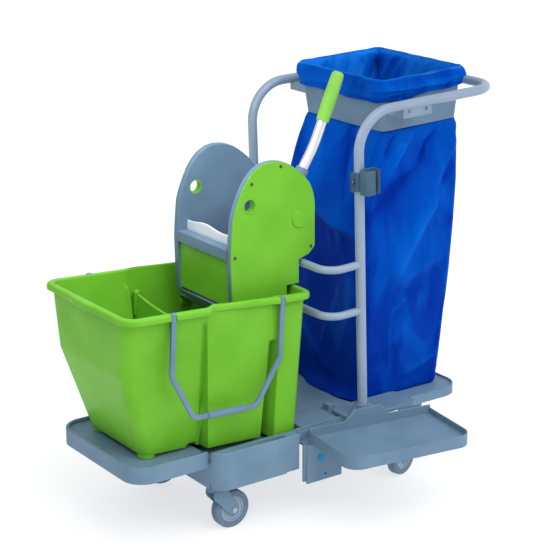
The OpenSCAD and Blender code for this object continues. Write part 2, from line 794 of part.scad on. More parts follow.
// Bracket under a rail that carries the collar
module collar_clip(side) in_frame() difference() {
    y_in = side * (collar_half_w - 4);
    y_out = side * (post_y + 10);
    translate([clip_plate_x - clip_plate_l / 2, min(y_in, y_out), rail_h - tube_d / 2 - clip_plate_h + 6])
        cube([clip_plate_l, abs(y_out - y_in), clip_plate_h]);
    translate([0, side * post_y, rail_h]) rotate([0, 90, 0]) cylinder(d = tube_d, h = rail_run);
    collar_loft(0, -collar_drop, collar_rise);
    for (x = [-0.3, 0.3]) translate([clip_plate_x + x * clip_plate_l, y_out, rail_h - tube_d / 2 - 4])
        rotate([90, 0, 0]) cylinder(d = 9, h = 8, center = true);
}

module collar_clip_front() cart() color(grey) collar_clip(-1);
module collar_clip_back() cart() color(grey) collar_clip(1);

// Sack: cuff folded over the collar, lining inside it, and a full body that stands on the deck
module sack_body(inset) {
    // Height, then how far the left, right and long sides stand out from the collar's lower edge
    hull() for (step = [
        [sack_bottom + inset, 42, -46, -36], [sack_bottom + 36, 50, -38, -20],
        [sack_bottom + 250, 50, -16, 2], [sack_top - 150, 48, -4, 8], [sack_top - inset, 12, 0, 2]
    ]) translate([sack_mid, 0, 0])
        slice(-collar_half_l - step[1] + inset, collar_half_l + step[2] - inset,
            collar_half_w + step[3] - inset, collar_corner + 6, step[0]);
}

module waste_sack() cart() color("royalblue") difference() {
    union() {
        in_frame() collar_loft(cuff_out, collar_rise - cuff_h, collar_rise + rest_gap + sack_t);
        in_frame() collar_loft(-collar_wall - rest_gap, -collar_drop - sack_neck, collar_rise);
        sack_body(0);
    }
    in_frame() difference() {
        collar_loft(rest_gap, -collar_drop - rest_gap, collar_rise + rest_gap);
        collar_loft(-collar_wall - rest_gap, -collar_drop - 30, collar_rise + 30);
    }
    in_frame() collar_loft(-collar_wall - rest_gap - sack_t, -collar_drop - sack_neck, collar_rise + 30);
    sack_body(sack_t);
}

// Shell of the small compartment, with the knee in its end wall
module small_shell(t, z_top) {
    hull() {
        slice(small_left + t, core_right, small_half_w - t, corner_low, bucket_bottom + t);
        slice(knee_x + t, core_right, knee_half_w - t, corner_top, knee_h);
        slice(wall_left + t, core_right, wall_half_w - t, corner_top, z_top);
    }
}

// Shell of the large compartment behind the proud front panel
module large_shell(t, z_top) {
    hull() {
        slice(panel_x0_low + t, panel_x1 - t, large_half_w - t, corner_low / 2, bucket_bottom + t);
        slice(panel_x0 + t, panel_x1 - t, wall_half_w - t, corner_low / 2, z_top);
    }
}

// Upright end of the large compartment
module pillar_shell(t, z_top) {
    hull() {
        slice(pillar_x0 + t, wall_right_low - t, wall_half_w - 6 - t, corner_low, bucket_bottom + t);
        slice(pillar_x0 + t, wall_right - t, wall_half_w - t, corner_low, z_top);
    }
}

// Rim in plan: full lip at both ends and a recessed stretch beside the wringer
module rim_outline(inset) {
    outline(lip_left + inset, panel_x0, lip_half_w - inset, corner_top + lip_out - inset, 0);
    outline(panel_x0 - eps, panel_x1, wall_half_w + 5 - inset, 0, 0);
    outline(panel_x1 - eps, lip_right - inset, lip_half_w - inset, 0, corner_low + lip_out - inset);
    intersection() {
        translate([lip_left + spout_r - spout_out + inset, 0]) circle(spout_r);
        translate([lip_left - spout_out, -spout_r]) square([spout_r, 2 * spout_r]);
    }
}

module bail_notches() {
    for (x = [bail_x0, bail_x1], side = [-1, 1])
        translate([x - bail_notch / 2, side * (lip_half_w - bail_t / 2 - 1) - bail_t / 2 - 1.5, bail_z - 40])
            cube([bail_notch, bail_t + 3, 80]);
}

module bucket() cart() color(green) {
    bucket_shell();
    for (side = [-1, 1]) translate([ledge_x0, side * (ledge_y + 1 - ledge_w / 2) - ledge_w / 2,
        wringer_bottom - rest_gap - ledge_h]) cube([ledge_l, ledge_w, ledge_h]);
}

module bucket_shell() difference() {
    union() {
        in_bucket() {
            small_shell(0, rim_h);
            large_shell(0, rim_h);
            pillar_shell(0, rim_h);
            slab(panel_x1 - 20, pillar_x0 + 20, wall_half_w - 5, 0, 0, slot_top, rim_h);
            translate([0, 0, rim_h - lip_h]) linear_extrude(lip_h) rim_outline(0);
            for (side = [-1, 1]) {
                translate([foot_left_x, side * (small_half_w - foot_r - 4), 0])
                    cylinder(r = foot_r, h = bucket_bottom + 20);
                translate([foot_right_x, side * (large_half_w - foot_r), 0])
                    cylinder(r = foot_r, h = bucket_bottom + 6);
            }
        }
    }
    in_bucket() {
        bail_notches();
        for (x = [bail_x0, bail_x1]) translate([x, 0, bail_z]) for (side = [-1, 1])
            translate([0, side * bail_y, 0]) rotate([0, 90, 0])
                cylinder(d = bail_pin_d + 2 * run_gap, h = bail_notch + 14, center = true);
        translate([0, 0, rim_h - lip_h - eps]) linear_extrude(lip_h - lip_t) difference() {
            rim_outline(lip_t);
            outline(wall_left, wall_right, wall_half_w + 1, corner_top, corner_low);
            for (x = [bail_x0, bail_x1]) translate([x - bail_notch, -lip_half_w])
                square([2 * bail_notch, 2 * lip_half_w]);
        }
        difference() {
            union() {
                small_shell(bucket_wall, rim_h + 1);
                large_shell(bucket_wall, rim_h + 1);
                pillar_shell(bucket_wall, rim_h + 1);
                slab(panel_x1 - 24, pillar_x0 + 24, wall_half_w - 5 - bucket_wall, 0, 0,
                    slot_top + bucket_wall, rim_h + 1);
            }
            divider();
        }
    }
}

// Double-walled divider whose top edge dips between rounded ends
module divider() {
    top = rim_h - divider_drop;
    dip = 22;
    dip_r = (wall_half_w * wall_half_w + dip * dip) / (2 * dip);
    translate([divider_x - 4, 0, 0]) rotate([90, 0, 90]) linear_extrude(8) difference() {
        translate([-wall_half_w, 0]) square([2 * wall_half_w, top]);
        translate([0, top - dip + dip_r]) circle(dip_r, $fn = 256);
    }
    for (side = [-1, 1]) translate([divider_x, side * (wall_half_w - 14), 0]) cylinder(r = 9, h = top + 4);
}

// One side of a strip along a path whose corners are bent to the left
function heading(p, q) = atan2(q[1] - p[1], q[0] - p[0]);
function strip_side(path, r, side) =
    let (last = len(path) - 1)
    [for (i = [0:last])
        let (
            into = i > 0 ? heading(path[i - 1], path[i]) : heading(path[0], path[1]),
            out = i < last ? heading(path[i], path[i + 1]) : into,
            trim = r * tan((out - into) / 2),
            middle = path[i] - trim * [cos(into), sin(into)] + r * [-sin(into), cos(into)],
            steps = out > into ? ceil((out - into) / 5) : 0
        )
        each [for (k = [0:steps])
            let (angle = into + (steps > 0 ? (out - into) * k / steps : 0))
            middle + (r - side) * [sin(angle), -cos(angle)]
        ]
    ];

// Carrying bail that hangs from its pins: two legs, two slopes and a straight run with a round grip
module bail(side) in_bucket() translate([0, side * bail_y, bail_z]) {
    eye_z = bail_t / 2 - 0.5;
    path = [
        [bail_x0, eye_z], [bail_x0, -bail_waist], [bail_x0 + bail_shift, -bail_drop],
        [bail_x1 - bail_shift, -bail_drop], [bail_x1, -bail_waist], [bail_x1, eye_z]
    ];
    inner = strip_side(path, bail_bend, bail_w / 2);
    outer = strip_side(path, bail_bend, -bail_w / 2);
    plate(-bail_t / 2, bail_t / 2)
        polygon(concat(inner, [for (i = [len(outer) - 1:-1:0]) outer[i]]));
    translate([(bail_x0 + bail_x1) / 2, 0, -bail_drop]) rotate([0, 90, 0])
        cylinder(d = bail_grip_d, h = bail_grip_l, center = true);
    for (x = [bail_x0, bail_x1]) translate([x, 0, 0]) rotate([0, 90, 0])
        cylinder(d = bail_pin_d, h = bail_notch + 12, center = true);
}

module bail_front() cart() color(grey) bail(-1);
module bail_back() cart() color(grey) bail(1);

// Side plate outline in X and Z: an arch above, a notch round the cross bar, and a foot inside the bucket
module plate_outline(inset) {
    left = arch_x - arch_r + inset;
    right = arch_x + arch_r - inset;
    foot_right = wringer_right - inset;
    translate([arch_x, arch_z]) circle(arch_r - inset);
    polygon([
        [left, arch_z], [left + 14, wringer_floor + 40], [left + 56, wringer_floor + inset],
        [foot_right, wringer_floor + inset], [foot_right, rim_z + inset], [notch_x - inset, rim_z + inset],
        [notch_x - inset, arch_z - 130 + inset], [right - 18, arch_z - 120 + inset],
        [right, arch_z - 102 + inset], [right, arch_z]
    ]);
}

module housing(side) {
    y0 = side > 0 ? housing_y : -housing_out;
    pocket_y = side > 0 ? housing_y + housing_floor_t : -housing_out - eps;
    difference() {
        plate(y0, y0 + housing_t) plate_outline(0);
        plate(pocket_y, pocket_y + housing_t - housing_floor_t + eps) difference() {
            plate_outline(plate_edge);
            for (spot = screw_spots) translate(spot) circle(6);
        }
        translate([pivot_x, 0, pivot_z]) rod(lever_shaft_d + 2 * run_gap, -cover_out, cover_out);
        translate([jaw_x, 0, jaw_z]) rod(jaw_shaft_d + 2 * run_gap, -cover_out, cover_out);
        translate([finger_x, 0, finger_z]) rod(finger_d + 2 * sleeve_t, -cover_out, cover_out);
        for (spot = screw_spots) translate([spot[0], 0, spot[1]])
            rod(screw_d, side > 0 ? housing_out - 8 : -housing_out - 1,
                side > 0 ? housing_out + 1 : -housing_out + 8);
    }
}

module housing_front() cart() color(grey) housing(-1);
module housing_back() cart() color(grey) housing(1);

// Cover that closes a gear housing, with a pivot cap and a sleeve through the finger hole
module cover(side) mirror([0, side > 0 ? 0 : 1, 0]) difference() {
    union() {
        plate(housing_out, cover_out) plate_outline(1);
        translate([pivot_x, 0, pivot_z]) rod(2 * cap_r, cover_out - eps, cover_out + cap_t);
        translate([finger_x, 0, finger_z]) rod(finger_d + 2 * sleeve_t, housing_y, cover_out + 1);
    }
    translate([finger_x, 0, finger_z]) rod(finger_d, 0, cover_out + 2);
    translate([pivot_x, 0, pivot_z]) rod(lever_shaft_d + 2 * run_gap, 0, cover_out + cap_t - 2);
    for (spot = screw_spots) translate([spot[0], 0, spot[1]]) rod(screw_d, 0, cover_out + 1);
}

module cover_front() cart() color(green) cover(-1);
module cover_back() cart() color(green) cover(1);

module cover_screws() cart() color("dimgray") for (side = [0, 1], spot = screw_spots)
    mirror([0, side, 0]) translate([spot[0], 0, spot[1]]) {
        rod(screw_d, housing_out - 7, cover_out);
        rod(screw_d + 4, cover_out, cover_out + 1.6);
    }

// Drain tray under the jaw, with lugs that stand on the bucket's ledges
module wringer_tray() cart() color(grey) difference() {
    left = arch_x - arch_r + 14;
    foot_right = wringer_right;
    lug_y = ledge_y - 2;
    union() {
        plate(-housing_y, housing_y) polygon([
            [left, wringer_floor + 40], [left + 42, wringer_bottom], [foot_right, wringer_bottom],
            [foot_right, wringer_floor], [left + 46, wringer_floor], [left + 5, wringer_floor + 42]
        ]);
        translate([ledge_x0, -lug_y, wringer_bottom])
            cube([ledge_l, 2 * lug_y, wringer_floor - wringer_bottom]);
    }
    for (x = [left + 86:22:foot_right - 14], y = [-90:30:90])
        translate([x, y, wringer_bottom - 1]) cylinder(d = 10, h = 12);
}

module wringer_crossbar() cart() color(grey) plate(-housing_y, housing_y) difference() {
    translate([crossbar_x0, crossbar_z]) square([crossbar_x1 - crossbar_x0, crossbar_h]);
    translate([crossbar_x0 + 5, crossbar_z - eps]) square([crossbar_x1 - crossbar_x0 - 10, crossbar_h - 5]);
}

// Perforated counter plate with a wavy top edge
module strainer_plate() cart() color("white") difference() {
    top = crossbar_z + crossbar_h + strainer_rise;
    bottom = wringer_floor + 22;
    span = 4 * strainer_pitch_y;
    wave = [for (y = [-housing_y:6:housing_y]) [y, top + 3 * sin(y * 1.9 + 30) + 1.5 * sin(y * 3.1)]];
    translate([crossbar_x1, 0, 0]) rotate([90, 0, 90]) linear_extrude(strainer_t)
        polygon(concat([[housing_y, bottom], [-housing_y, bottom]], wave,
            [[housing_y, wave[len(wave) - 1][1]]]));
    for (y = [-span:strainer_pitch_y:span], z = [bottom + 44:strainer_pitch_z:crossbar_z - 10])
        translate([crossbar_x1 - 1, y, z]) rotate([0, 90, 0]) cylinder(d = 11, h = strainer_t + 2);
}

module splash_panel() cart() color(green)
    translate([crossbar_x0 + 8, -housing_y, crossbar_z - splash_h]) cube([4, 2 * housing_y, splash_h]);

// Hanging jaw: perforated plate with a grid of ribs behind it
module press_jaw() cart() color(grey) translate([jaw_x, 0, jaw_z]) difference() {
    half_w = housing_y - 4;
    rib_d = 10;
    union() {
        rod(jaw_shaft_d + 12, -half_w, half_w);
        translate([-5, -half_w, -jaw_l]) cube([5, 2 * half_w, jaw_l]);
        for (i = [0:6]) translate([-eps, -half_w + i * (2 * half_w - rib_t) / 6, -jaw_l])
            cube([rib_d, rib_t, jaw_l]);
        for (i = [0:3]) translate([-eps, -half_w, -jaw_l + i * (jaw_l - 22) / 3])
            cube([rib_d, 2 * half_w, rib_t]);
    }
    rod(jaw_shaft_d, -housing_y, housing_y);
    for (i = [0:5], k = [0:2]) translate([-6, -half_w + rib_t / 2 + (i + 0.5) * (2 * half_w - rib_t) / 6,
        -jaw_l + rib_t / 2 + (k + 0.5) * (jaw_l - 22) / 3]) rotate([0, 90, 0]) cylinder(d = 16, h = 8);
}

module jaw_shaft() cart() color("silver") translate([jaw_x, 0, jaw_z])
    rod(jaw_shaft_d, -housing_out + 1, housing_out - 1);

// Involute flank: half the tooth's angle at radius r
function involute(a) = tan(a) * 180 / PI - a;
function flank(r, teeth, pitch_r) =
    let (base_r = pitch_r * cos(pressure_angle))
    90 / teeth - gear_backlash * 90 / (PI * pitch_r) + involute(pressure_angle)
        - involute(acos(min(1, base_r / max(r, base_r))));
function on_circle(r, a) = [r * cos(a), r * sin(a)];

// Outline of the teeth from first to last, the tooth number 0 on the angle of the line of centres
function gear_points(teeth, first, last, start) =
    let (
        pitch_r = gear_module * teeth / 2,
        tip_r = pitch_r + 0.95 * gear_module,
        root_r = pitch_r - 1.2 * gear_module,
        steps = 6,
        radii = [for (i = [0:steps]) max(root_r, pitch_r * cos(pressure_angle))
            + i * (tip_r - max(root_r, pitch_r * cos(pressure_angle))) / steps]
    )
    [for (k = [first:last])
        let (mid = start + k * 360 / teeth)
        each concat(
            [on_circle(root_r, mid - flank(radii[0], teeth, pitch_r))],
            [for (r = radii) on_circle(r, mid - flank(r, teeth, pitch_r))],
            [for (i = [steps:-1:0]) on_circle(radii[i], mid + flank(radii[i], teeth, pitch_r))],
            [on_circle(root_r, mid + flank(radii[0], teeth, pitch_r))]
        )
    ];

module lever_gear(side) translate([pivot_x, 0, pivot_z]) difference() {
    y0 = side > 0 ? gear_y : -gear_y - gear_t;
    plate(y0, y0 + gear_t) polygon(gear_points(lever_teeth, 0, lever_teeth - 1, jaw_direction));
    rod(lever_shaft_d, -cover_out, cover_out);
}

// Sector that covers the jaw's travel with a tooth to spare at each end
module jaw_gear(side) translate([jaw_x, 0, jaw_z]) difference() {
    y0 = side > 0 ? gear_y : -gear_y - gear_t;
    half_pitch = 180 / jaw_teeth;
    plate(y0, y0 + gear_t) {
        polygon(concat([[0, 0]], gear_points(jaw_teeth, -1, 6, jaw_direction + 180 - half_pitch)));
        circle(d = jaw_shaft_d + 14);
    }
    rod(jaw_shaft_d, -cover_out, cover_out);
}

module jaw_gear_front() cart() color("ivory") jaw_gear(-1);
module jaw_gear_back() cart() color("ivory") jaw_gear(1);
module lever_gear_front() cart() color("ivory") lever_gear(-1);
module lever_gear_back() cart() color("ivory") lever_gear(1);

module lever_shaft() cart() color("silver") translate([pivot_x, 0, pivot_z])
    rod(lever_shaft_d, -cover_out - cap_t + 3, cover_out + cap_t - 3);

module in_socket() {
    translate([socket_x, lever_y, socket_z]) rotate([0, lever_lean_low, 0]) children();
}

module in_upper_lever() {
    translate([bend_x, lever_y, bend_z]) rotate([0, lever_lean_high, 0]) children();
}

// Hub on the lever shaft, with an arm that ends in the tube's socket
module lever_hub() cart() color(grey) difference() {
    union() {
        translate([0, lever_y, 0]) plate(-9, 9)
            link([pivot_x, pivot_z], lever_shaft_d / 2 + 11, [socket_x, socket_z], socket_r);
        in_socket() cylinder(r = socket_r, h = socket_l);
    }
    in_socket() translate([0, 0, socket_floor]) cylinder(d = lever_d, h = socket_l);
    translate([pivot_x, 0, pivot_z]) rod(lever_shaft_d, -housing_y, housing_y);
}

// Drawn tube with one slight bend, open at both ends
module lever_tube() cart() color("gainsboro") {
    in_socket() {
        translate([0, 0, socket_floor]) tube(lever_d, lever_low_l - bend_trim);
        translate([-lever_bend, 0, socket_floor + lever_low_l - bend_trim]) rotate([90, 0, 0])
            elbow(lever_d + bend_swell, lever_bend, -bend_lap, bend_turn + 2 * bend_lap);
    }
    in_upper_lever() translate([0, 0, bend_trim]) tube(lever_d, lever_high_l - bend_trim - grip_end_t);
}

module lever_grip() cart() color(green) in_upper_lever()
    translate([0, 0, lever_high_l - grip_l]) rotate_extrude() difference() {
        end_r = 11;
        neck_r = grip_d / 2 - 1.5;
        union() {
            polygon([
                [0, 0], [neck_r, 0], [grip_d / 2, grip_l * 0.3], [grip_d / 2, grip_l * 0.6],
                [neck_r, grip_l - end_r], [0, grip_l - end_r]
            ]);
            square([neck_r - end_r, grip_l]);
            translate([neck_r - end_r, grip_l - end_r]) intersection() {
                circle(end_r);
                square(end_r);
            }
        }
        translate([-1, -1]) square([lever_d / 2 + 1, grip_l - grip_end_t + 1]);
    }

bucket_tray();
caster_beam();
beam_coupler();
sack_deck();
post_foot_front();
post_foot_back();
side_tray();
side_tray_bracket();
coding_plug();
caster_stems();
fork_front_left();
axle_front_left();
hub_front_left();
tyre_front_left();
fork_back_left();
axle_back_left();
hub_back_left();
tyre_back_left();
fork_front_right();
axle_front_right();
hub_front_right();
tyre_front_right();
fork_back_right();
axle_back_right();
hub_back_right();
tyre_back_right();
push_frame();
lower_cross_bar();
upper_cross_bar();
tool_clip();
tool_clip_screw();
sack_collar();
collar_clip_front();
collar_clip_back();
waste_sack();
bucket();
bail_front();
bail_back();
housing_front();
housing_back();
cover_front();
cover_back();
cover_screws();
wringer_tray();
wringer_crossbar();
strainer_plate();
splash_panel();
press_jaw();
jaw_shaft();
jaw_gear_front();
jaw_gear_back();
lever_shaft();
lever_gear_front();
lever_gear_back();
lever_hub();
lever_tube();
lever_grip();
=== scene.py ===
import math

import bmesh
import bpy
from mathutils import Matrix, Vector, noise


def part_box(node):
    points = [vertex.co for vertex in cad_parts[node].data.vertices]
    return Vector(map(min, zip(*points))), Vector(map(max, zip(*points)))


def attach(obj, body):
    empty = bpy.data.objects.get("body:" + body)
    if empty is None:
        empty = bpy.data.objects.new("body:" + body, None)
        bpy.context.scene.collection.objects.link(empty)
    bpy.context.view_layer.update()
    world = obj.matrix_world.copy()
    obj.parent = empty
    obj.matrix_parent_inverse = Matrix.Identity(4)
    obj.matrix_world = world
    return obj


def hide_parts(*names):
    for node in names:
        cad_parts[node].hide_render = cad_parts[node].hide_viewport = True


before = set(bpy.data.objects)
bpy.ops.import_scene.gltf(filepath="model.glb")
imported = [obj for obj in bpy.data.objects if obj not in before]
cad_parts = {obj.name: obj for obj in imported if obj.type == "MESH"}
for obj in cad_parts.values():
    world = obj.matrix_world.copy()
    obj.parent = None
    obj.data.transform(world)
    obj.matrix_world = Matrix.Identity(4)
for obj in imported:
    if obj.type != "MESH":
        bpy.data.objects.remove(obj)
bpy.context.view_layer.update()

# Base mouldings
# Four hollow mouldings lock together and carry everything: the tray under the bucket, the beam over the
# casters, the coupler and the sack deck. They are slate-grey polypropylene, moulded with a fine grain.
tube_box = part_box("push_frame")
# The cart is measured from a point this far before the end of its handle, on its middle plane
handle_reach = 0.382768
origin = Vector((tube_box[1][0] - handle_reach, (tube_box[0][1] + tube_box[1][1]) / 2, 0))


def cart(x, y, z):
    """A point of the cart in millimetres, from the middle plane, as metres in the frame."""
    return origin + Vector((x, y, z)) / 1000


def linear(code):
    """An sRGB hex colour as the linear values that a shader socket takes."""
    parts = [int(code[i:i + 2], 16) / 255 for i in (1, 3, 5)]
    return [c / 12.92 if c <= 0.04045 else ((c + 0.055) / 1.055) ** 2.4 for c in parts] + [1.0]


def add_node(tree, kind, inputs=None, **settings):
    """A shader node with its settings, each input fed by a value or by another node's socket."""
    node = tree.nodes.new(kind)
    for name, value in settings.items():
        setattr(node, name, value)
    for name, value in (inputs or {}).items():
        if isinstance(value, bpy.types.NodeSocket):
            tree.links.new(value, node.inputs[name])
        else:
            node.inputs[name].default_value = value
    return node


def moulded_plastic(name, dark, light, gloss, grain_mm):
    """Polypropylene from a grained tool: nearly even colour, a satin gloss that varies, fine pebbling."""
    material = bpy.data.materials.new(name)
    material.use_nodes = True
    tree = material.node_tree
    shader = tree.nodes["Principled BSDF"]
    place = add_node(tree, "ShaderNodeTexCoord").outputs["Object"]
    # Flow clouding about 90 mm across
    cloud = add_node(tree, "ShaderNodeTexNoise", {"Vector": place, "Scale": 1 / 0.09, "Detail": 3.0})
    tone = add_node(tree, "ShaderNodeValToRGB", {"Fac": cloud.outputs["Fac"]})
    tone.color_ramp.elements[0].position = 0.35
    tone.color_ramp.elements[0].color = linear(dark)
    tone.color_ramp.elements[1].position = 0.65
    tone.color_ramp.elements[1].color = linear(light)
    tree.links.new(tone.outputs["Color"], shader.inputs["Base Color"])
    # Handling marks about 25 mm across change the gloss a little
    rub = add_node(tree, "ShaderNodeTexNoise", {"Vector": place, "Scale": 1 / 0.025, "Detail": 4.0})
    sheen = add_node(tree, "ShaderNodeMapRange", {"Value": rub.outputs["Fac"], "To Min": gloss - 0.07,
                                                  "To Max": gloss + 0.09})
    tree.links.new(sheen.outputs["Result"], shader.inputs["Roughness"])
    # The tool's grain is about 0.3 mm and is drawn coarser, so that it shows
    grain = add_node(tree, "ShaderNodeTexNoise", {"Vector": place, "Scale": 1000 / grain_mm, "Detail": 2.0})
    bump = add_node(tree, "ShaderNodeBump", {"Height": grain.outputs["Fac"], "Strength": 0.14,
                                             "Distance": 0.0004})
    tree.links.new(bump.outputs["Normal"], shader.inputs["Normal"])
    shader.inputs["IOR"].default_value = 1.49
    shader.inputs["Specular IOR Level"].default_value = 0.12
    return material


def rounded(node, body, slot, material, *roundings, turn=32, lean=None, bends=()):
    """A node's own shape, merged. Each rounding is a size in metres and a choice of outer edges by place."""
    shape = bmesh.new()
    shape.from_mesh(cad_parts[node].data)
    bmesh.ops.remove_doubles(shape, verts=shape.verts, dist=0.00001)
    # Cuts at these heights give a straight rim points to bend at
    for level in bends:
        bmesh.ops.bisect_plane(shape, geom=shape.verts[:] + shape.edges[:] + shape.faces[:],
                               plane_co=cart(0, 0, level), plane_no=(0, 0, 1))
    for vert in shape.verts if lean else ():
        vert.co.x += lean(*(vert.co - origin) * 1000) / 1000
    if roundings:
        bmesh.ops.dissolve_limit(shape, angle_limit=math.radians(0.5), verts=shape.verts, edges=shape.edges)
    for size, chosen in roundings:
        outer = []
        for edge in shape.edges:
            middle = ((edge.verts[0].co + edge.verts[1].co) / 2 - origin) * 1000
            if edge.is_convex and edge.calc_face_angle(0) > math.radians(turn) and chosen(*middle):
                outer.append(edge)
        bmesh.ops.bevel(shape, geom=outer, offset=size, offset_type="OFFSET", affect="EDGES", segments=4,
                        profile=0.5, material=-1, clamp_overlap=False, loop_slide=False)
    mesh = bpy.data.meshes.new(node + "_piece")
    shape.to_mesh(mesh)
    shape.free()
    return piece_of(mesh, body, slot, material, node, turn=turn + 8)


def piece_of(mesh, body, slot, material, *nodes, turn=40):
    """Makes a mesh a piece of the cart: smooth with crisp creases, with its finish, body and nodes."""
    mesh.shade_smooth()
    mesh.set_sharp_from_angle(angle=math.radians(turn))
    mesh.materials.clear()
    mesh.materials.append(material)
    piece = bpy.data.objects.new(mesh.name, mesh)
    bpy.context.collection.objects.link(piece)
    even = piece.modifiers.new("even_normals", "WEIGHTED_NORMAL")
    even.keep_sharp = True
    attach(piece, body)
    if nodes:
        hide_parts(*nodes)
    return piece


grey_plastic = moulded_plastic("grey_polypropylene", "#66829a", "#708ca3", 0.42, 1.1)
rounded("bucket_tray", "chassis", "grey_polypropylene", grey_plastic,
        (0.0035, lambda x, y, z: z > 215 and x < -513))
rounded("caster_beam", "chassis", "grey_polypropylene", grey_plastic,
        (0.006, lambda x, y, z: z > 140 and x < -303))
rounded("beam_coupler", "chassis", "grey_polypropylene", grey_plastic,
        (0.004, lambda x, y, z: z > 140 and -301 < x < -263))
rounded("sack_deck", "chassis", "grey_polypropylene", grey_plastic,
        (0.002, lambda x, y, z: z > 222 and x > -260))
for side in ("front", "back"):
    rounded("post_foot_" + side, "chassis", "grey_polypropylene", grey_plastic,
            (0.0025, lambda x, y, z: 236.5 < z < 237.5), (0.002, lambda x, y, z: z > 264))

# Casters
# Four swivel casters: steel stem and race, moulded fork, steel axle, light hub and a grey rubber tyre.
# The fork turns on the stem in its race, and the hub runs on the plain axle.
steel = bpy.data.materials.new("zinc_plated_steel")
steel.use_nodes = True
tree = steel.node_tree
place = add_node(tree, "ShaderNodeTexCoord").outputs["Object"]
# Passivation blooms about 6 mm across
bloom = add_node(tree, "ShaderNodeTexNoise", {"Vector": place, "Scale": 1 / 0.006, "Detail": 4.0})
passivation = add_node(tree, "ShaderNodeValToRGB", {"Fac": bloom.outputs["Fac"]})
passivation.color_ramp.elements[0].color = linear("#9a9da2")
passivation.color_ramp.elements[1].color = linear("#c3c6ca")
tree.links.new(passivation.outputs["Color"], tree.nodes["Principled BSDF"].inputs["Base Color"])
haze = add_node(tree, "ShaderNodeMapRange", {"Value": bloom.outputs["Fac"], "To Min": 0.22, "To Max": 0.42})
tree.links.new(haze.outputs["Result"], tree.nodes["Principled BSDF"].inputs["Roughness"])
tree.nodes["Principled BSDF"].inputs["Metallic"].default_value = 1.0


def everywhere(x, y, z):
    """Chooses every outer edge."""
    return True


hub_plastic = moulded_plastic("hub_polypropylene", "#8b9db0", "#9cadbe", 0.38, 0.9)
rubber = moulded_plastic("grey_rubber", "#5f758a", "#6a8095", 0.58, 0.8)
rounded("caster_stems", "chassis", "steel", steel)
for corner in ("front_left", "back_left", "front_right", "back_right"):
    rounded("fork_" + corner, "caster_" + corner, "grey_polypropylene", grey_plastic, (0.0015, everywhere))
    rounded("axle_" + corner, "caster_" + corner, "steel", steel, (0.0005, everywhere))
    rounded("hub_" + corner, "wheel_" + corner, "hub_plastic", hub_plastic, (0.0008, everywhere))
    rounded("tyre_" + corner, "wheel_" + corner, "grey_tyre", rubber)

# Side tray
# A shallow moulded tray beside the sack deck on a hanging bracket, with a hook tab on its back wall.
# A blue round plug is pressed into the bracket.
plug_plastic = moulded_plastic("blue_abs", "#1a82b8", "#2391c9", 0.32, 0.9)
rounded("side_tray", "chassis", "grey_polypropylene", grey_plastic, (0.0016, lambda x, y, z: z > 225))
rounded("side_tray_bracket", "chassis", "grey_polypropylene", grey_plastic, (0.0012, everywhere))
rounded("coding_plug", "chassis", "blue_plastic", plug_plastic, (0.0009, everywhere))

# Push frame
# One steel tube bent into posts, rails and handle, with two bent cross bars welded between the posts.
# The powder coat is a light blue grey with a slight orange peel and a soft gloss.
coat = bpy.data.materials.new("powder_coat")
coat.use_nodes = True
tree = coat.node_tree
shader = tree.nodes["Principled BSDF"]
place = add_node(tree, "ShaderNodeTexCoord").outputs["Object"]
drift = add_node(tree, "ShaderNodeTexNoise", {"Vector": place, "Scale": 1 / 0.12, "Detail": 2.0})
shade = add_node(tree, "ShaderNodeValToRGB", {"Fac": drift.outputs["Fac"]})
shade.color_ramp.elements[0].color = linear("#8497ad")
shade.color_ramp.elements[1].color = linear("#91a4b9")
tree.links.new(shade.outputs["Color"], shader.inputs["Base Color"])
# Orange peel about 2 mm across
peel = add_node(tree, "ShaderNodeTexNoise", {"Vector": place, "Scale": 1 / 0.002, "Detail": 1.0})
bump = add_node(tree, "ShaderNodeBump", {"Height": peel.outputs["Fac"], "Strength": 0.1, "Distance": 0.0003})
tree.links.new(bump.outputs["Normal"], shader.inputs["Normal"])
shader.inputs["Roughness"].default_value = 0.28
shader.inputs["Specular IOR Level"].default_value = 0.35
shader.inputs["Coat Weight"].default_value = 0.2
shader.inputs["Coat Roughness"].default_value = 0.15
for tube in ("push_frame", "lower_cross_bar", "upper_cross_bar"):
    rounded(tube, "chassis", "powder_coated_tube", coat)

# Tool clip
# A moulded spring clip clamped round the front post with one screw, to hold a handle in its channel.
# It is a darker grey than the base, with rounded outer corners.
clip_plastic = moulded_plastic("dark_grey_polypropylene", "#405b70", "#4b667b", 0.4, 1.0)
rounded("tool_clip", "chassis", "grey_polypropylene", clip_plastic, (0.0012, everywhere))
rounded("tool_clip_screw", "chassis", "steel", steel, (0.0005, everywhere))

# Sack collar
# A flared moulded frame that hangs between the rails on two brackets and keeps the sack open.
# The brackets are a lighter moulding, screwed under the rails.
bracket_plastic = moulded_plastic("light_grey_polypropylene", "#7a91a5", "#859bae", 0.38, 1.0)
rounded("sack_collar", "chassis", "grey_polypropylene", grey_plastic, (0.001, everywhere))
for side in ("front", "back"):
    rounded("collar_clip_" + side, "chassis", "grey_polypropylene", bracket_plastic, (0.0015, everywhere))

# Waste sack
# A blue polyethylene film sack, turned over the collar as a loose cuff, that hangs through it and stands on
# the deck. Its slack lies in long folds and flat facets, its corners are taut, and its foot spreads.
post_x, foot_top = -60, 265
frame_lean = math.radians(2)


def leaned(x, y, z):
    """A point of the leaning push frame: x along the rail from the posts, z up the post from its foot."""
    return cart(post_x + x * math.cos(frame_lean) - z * math.sin(frame_lean), y,
                foot_top + x * math.sin(frame_lean) + z * math.cos(frame_lean))


